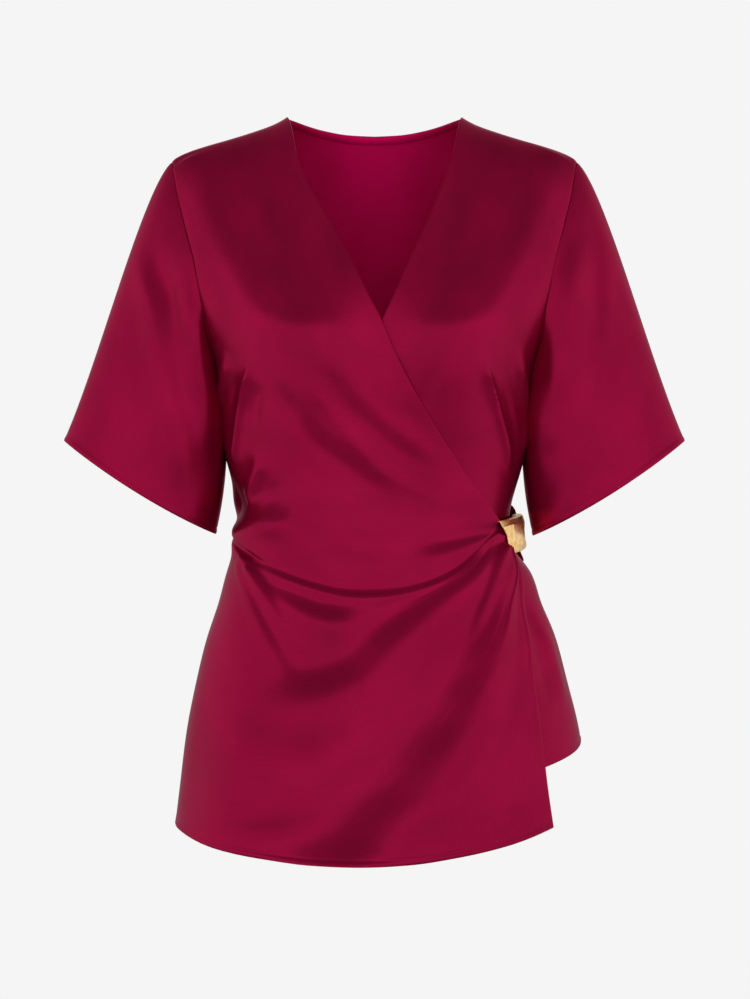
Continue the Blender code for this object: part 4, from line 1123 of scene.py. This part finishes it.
# %% Bending it round the side
CLASP_OFFSET, CLASP_LEAN = 11.2, 0.12
CLASP_START, CLASP_END = 0.545, -0.10           # turns at its mouth and its back end
MOUTH_SLANT = 7.15                              # its mouth's top reaches this further forward
CLASP_RISE = ((0, -1.7), (0.3, 0.4), (0.66, 3.4), (1, 5.0))     # share of its length, up
CLASP_EDGE, CLASP_TURN = 0.35, 14               # facets are rounded where they meet at more
                                                # than this angle, in degrees


def clasp_place(share):
    turn = CLASP_START + (CLASP_END - CLASP_START) * share
    return beside_waist(np.atleast_1d(turn), CLASP_LEVEL, CLASP_OFFSET)[0][0]


turn_on(clasp)
bpy.ops.object.mode_set(mode="EDIT")
bpy.ops.mesh.select_all(action="SELECT")
# with no window, a rotation turns the other way
bpy.ops.transform.rotate(value=math.atan(CLASP_LEAN), orient_axis="X", center_override=(0, 0, 0))
for ring, station in zip(rings, stations):
    share = station / CLASP_LENGTH
    before, after = [clasp_place(np.clip(share + step, 0, 1)) for step in (-0.02, 0.02)]
    heading = math.atan2(after[1] - before[1], after[0] - before[0])
    slant = math.atan(MOUTH_SLANT * (1 - share) / (CLASP_HEIGHT / 2))
    bpy.ops.mesh.select_mode(type="VERT")
    bpy.ops.mesh.select_all(action="DESELECT")
    bpy.ops.object.mode_set(mode="OBJECT")
    for corner in ring:
        clasp.data.vertices[corner].select = True
    bpy.ops.object.mode_set(mode="EDIT")
    centre = (station * MM, 0, 0)
    # stretched first, the ring still has its full height once it leans
    bpy.ops.transform.resize(value=(1, 1, 1 / math.cos(slant)), center_override=centre)
    bpy.ops.transform.rotate(value=slant, orient_axis="Y", center_override=centre)
    bpy.ops.transform.rotate(value=-heading, orient_axis="Z", center_override=centre)
    rise = float(smooth(*zip(*CLASP_RISE), share))
    goal = clasp_place(share) + (0, 0, rise)
    bpy.ops.transform.translate(value=tuple((goal - (station, 0, 0)) * MM))
bpy.ops.object.mode_set(mode="OBJECT")
add_modifier(clasp, "SOLIDIFY", thickness=CLASP_WALL * MM, offset=-1)
add_modifier(clasp, "BEVEL", width=CLASP_EDGE * MM, segments=2, limit_method="ANGLE",
             angle_limit=math.radians(CLASP_TURN))
turn_on(clasp)
bpy.ops.object.shade_smooth_by_angle(angle=math.radians(24))
corners = np.array([vertex.co for vertex in clasp.data.vertices]) / MM
print("clasp spans", corners.min(axis=0).round(1), "to", corners.max(axis=0).round(1))


# %% [markdown]
# ## Gold plating
# The casting is zinc under a thin warm gold plate, polished but not flat. Metallic 1 makes the
# colour the colour of its reflections, and its facets do the rest: one colour, mirrored light
# from many directions. A slow noise gives the skin of the casting, and a finer one the worn
# spots where the polish has dulled.

# %% Gold
SKIN, WEAR = 0.004, 0.0012          # sizes in metres
SKIN_BUMP = 0.0006                  # metres


def gold_plate(name):
    material, tree, shader = new_material(name, {"Metallic": 1.0})
    place = add_node(tree, "ShaderNodeTexCoord").outputs["Object"]
    skin, wear = [add_node(tree, "ShaderNodeTexNoise", {"Scale": 1 / size, "Detail": detail},
                           {"Vector": place}).outputs["Fac"]
                  for size, detail in ((SKIN, 3.0), (WEAR, 2.0))]
    colour = add_node(tree, "ShaderNodeValToRGB", (), {"Fac": skin},
                      ((0.35, linear("#f2bc74")), (0.65, linear("#ffe4aa"))))
    rough = add_node(tree, "ShaderNodeMapRange", {**NOISE_SPAN, "To Min": 0.34, "To Max": 0.46},
                     {"Value": wear})
    bump = add_node(tree, "ShaderNodeBump", {"Strength": 0.3, "Distance": SKIN_BUMP},
                    {"Height": skin})
    link(tree, shader, {"Base Color": colour.outputs["Color"],
                        "Roughness": rough.outputs["Result"], "Normal": bump.outputs["Normal"]})
    return material


clasp.data.materials.clear()
clasp.data.materials.append(gold_plate("gold_plated_zinc"))
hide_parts("buckle")
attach(clasp, "root")
print("clasp plated")


# %% [markdown]
# ## The world, the floor and the camera
# Satin shows its folds by what they mirror, so the light matters more than on matt cloth. A
# studio wraps such a garment in large soft panels. Area lights could stand in for them, but they
# end in hard edges, which satin shows. So the world itself is the studio: a wide bright band in
# front, a little above the middle, fading to a dim ceiling and floor, and weaker at the sides
# and behind. The camera sees plain pale paper instead.

# %% World
STRENGTH = 3.0                      # a colour ramp holds no light over 1, so it holds a third
# brightness over height, where -1 is straight down and 1 is straight up
FRONT_LIGHT = ((-1, 0.2), (-0.75, 0.45), (-0.5, 0.87), (-0.2, 0.94), (0.04, 1.06), (0.2, 1.12),
               (0.36, 0.88), (0.52, 0.42), (0.7, 0.37), (0.88, 0.33), (1, 0.3))
SIDE_LIGHT = ((-1, 0.15), (-0.7, 0.45), (-0.4, 0.95), (0.35, 1.0), (0.52, 0.58), (1, 0.36))
BACK_LIGHT = ((-1, 0.1), (-0.4, 0.3), (0.4, 0.7), (0.8, 0.4), (1, 0.15))
world = bpy.data.worlds.new("studio")
bpy.context.scene.world = world
world.use_nodes = True
studio = world.node_tree
background = studio.nodes["Background"]
sky = add_node(studio, "ShaderNodeTexCoord").outputs["Generated"]
right, ahead, up = add_node(studio, "ShaderNodeSeparateXYZ", (), {"Vector": sky}).outputs
sideways = add_node(studio, "ShaderNodeMath", {"operation": "ABSOLUTE"}, {0: right})
# the light turns from the front's to the back's round the middle, and to the sides' beside it
height, behind, beside = [
    add_node(studio, "ShaderNodeMapRange", {"From Min": low, "From Max": high},
             {"Value": value}).outputs["Result"]
    for low, high, value in ((-1.0, 1.0, up), (-0.3, 0.3, ahead),
                             (0.45, 0.9, sideways.outputs["Value"]))]
lights = []
for stops in (FRONT_LIGHT, BACK_LIGHT, SIDE_LIGHT):
    light = add_node(studio, "ShaderNodeValToRGB", (), {"Fac": height},
                     [((level + 1) / 2, (value / STRENGTH,) * 3 + (1,)) for level, value in stops])
    light.color_ramp.interpolation = "EASE"
    lights.append(light.outputs["Color"])
around = lights[0]
for factor, light in ((behind, lights[1]), (beside, lights[2])):
    around = add_node(studio, "ShaderNodeMix", {"data_type": "RGBA"},
                      {0: factor, 6: around, 7: light}).outputs[2]
link(studio, background, {"Color": around})
background.inputs["Strength"].default_value = STRENGTH
paper = add_node(studio, "ShaderNodeBackground", {"Color": linear("#f5f5f5"), "Strength": 1.0})
seen = add_node(studio, "ShaderNodeLightPath")
shown = add_node(studio, "ShaderNodeMixShader", (), {0: seen.outputs["Is Camera Ray"],
                                                     1: background.outputs[0],
                                                     2: paper.outputs[0]})
link(studio, studio.nodes["World Output"], {"Surface": shown.outputs[0]})
bpy.context.scene.view_settings.view_transform = "Standard"
print("world lit")


# %% Floor and camera
FLOOR_GRAIN = 0.016                 # metres
FLOOR_LEVEL = -1.5                  # metres; the top hangs at the height of a wearer's shoulders
VIEW_AWAY, VIEW_HEIGHT = 3.6, 0.964             # metres: how far off the camera is, what it shows
SENSOR = 36                         # millimetres
bpy.ops.object.select_all(action="DESELECT")
bpy.ops.mesh.primitive_circle_add(vertices=96, radius=2.2, fill_type="NGON",
                                  location=(0, 0, FLOOR_LEVEL))
floor = bpy.context.object
floor.name = "studio_floor"
bpy.ops.object.transform_apply(location=True)
paint, tree, shader = new_material("matt_floor_paint", {"Roughness": 0.8})
place = add_node(tree, "ShaderNodeTexCoord").outputs["Object"]
grain = add_node(tree, "ShaderNodeTexNoise", {"Scale": 1 / FLOOR_GRAIN, "Detail": 3.0},
                 {"Vector": place})
colour = add_node(tree, "ShaderNodeValToRGB", (), {"Fac": grain.outputs["Fac"]},
                  ((0.3, linear("#efeeec")), (0.7, linear("#f3f2f0"))))
link(tree, shader, {"Base Color": colour.outputs["Color"]})
floor.data.materials.append(paint)

camera = bpy.data.objects.new("camera", bpy.data.cameras.new("camera"))
bpy.context.scene.collection.objects.link(camera)
camera.location = (0.0006, -VIEW_AWAY, -0.3677)
camera.rotation_euler = (math.radians(90), 0, 0)
camera.data.sensor_fit = "VERTICAL"
camera.data.sensor_height = SENSOR
camera.data.lens = SENSOR * VIEW_AWAY / VIEW_HEIGHT
camera.data.clip_end = 100
bpy.context.scene.camera = camera
print("camera lens", round(camera.data.lens, 1), "mm")
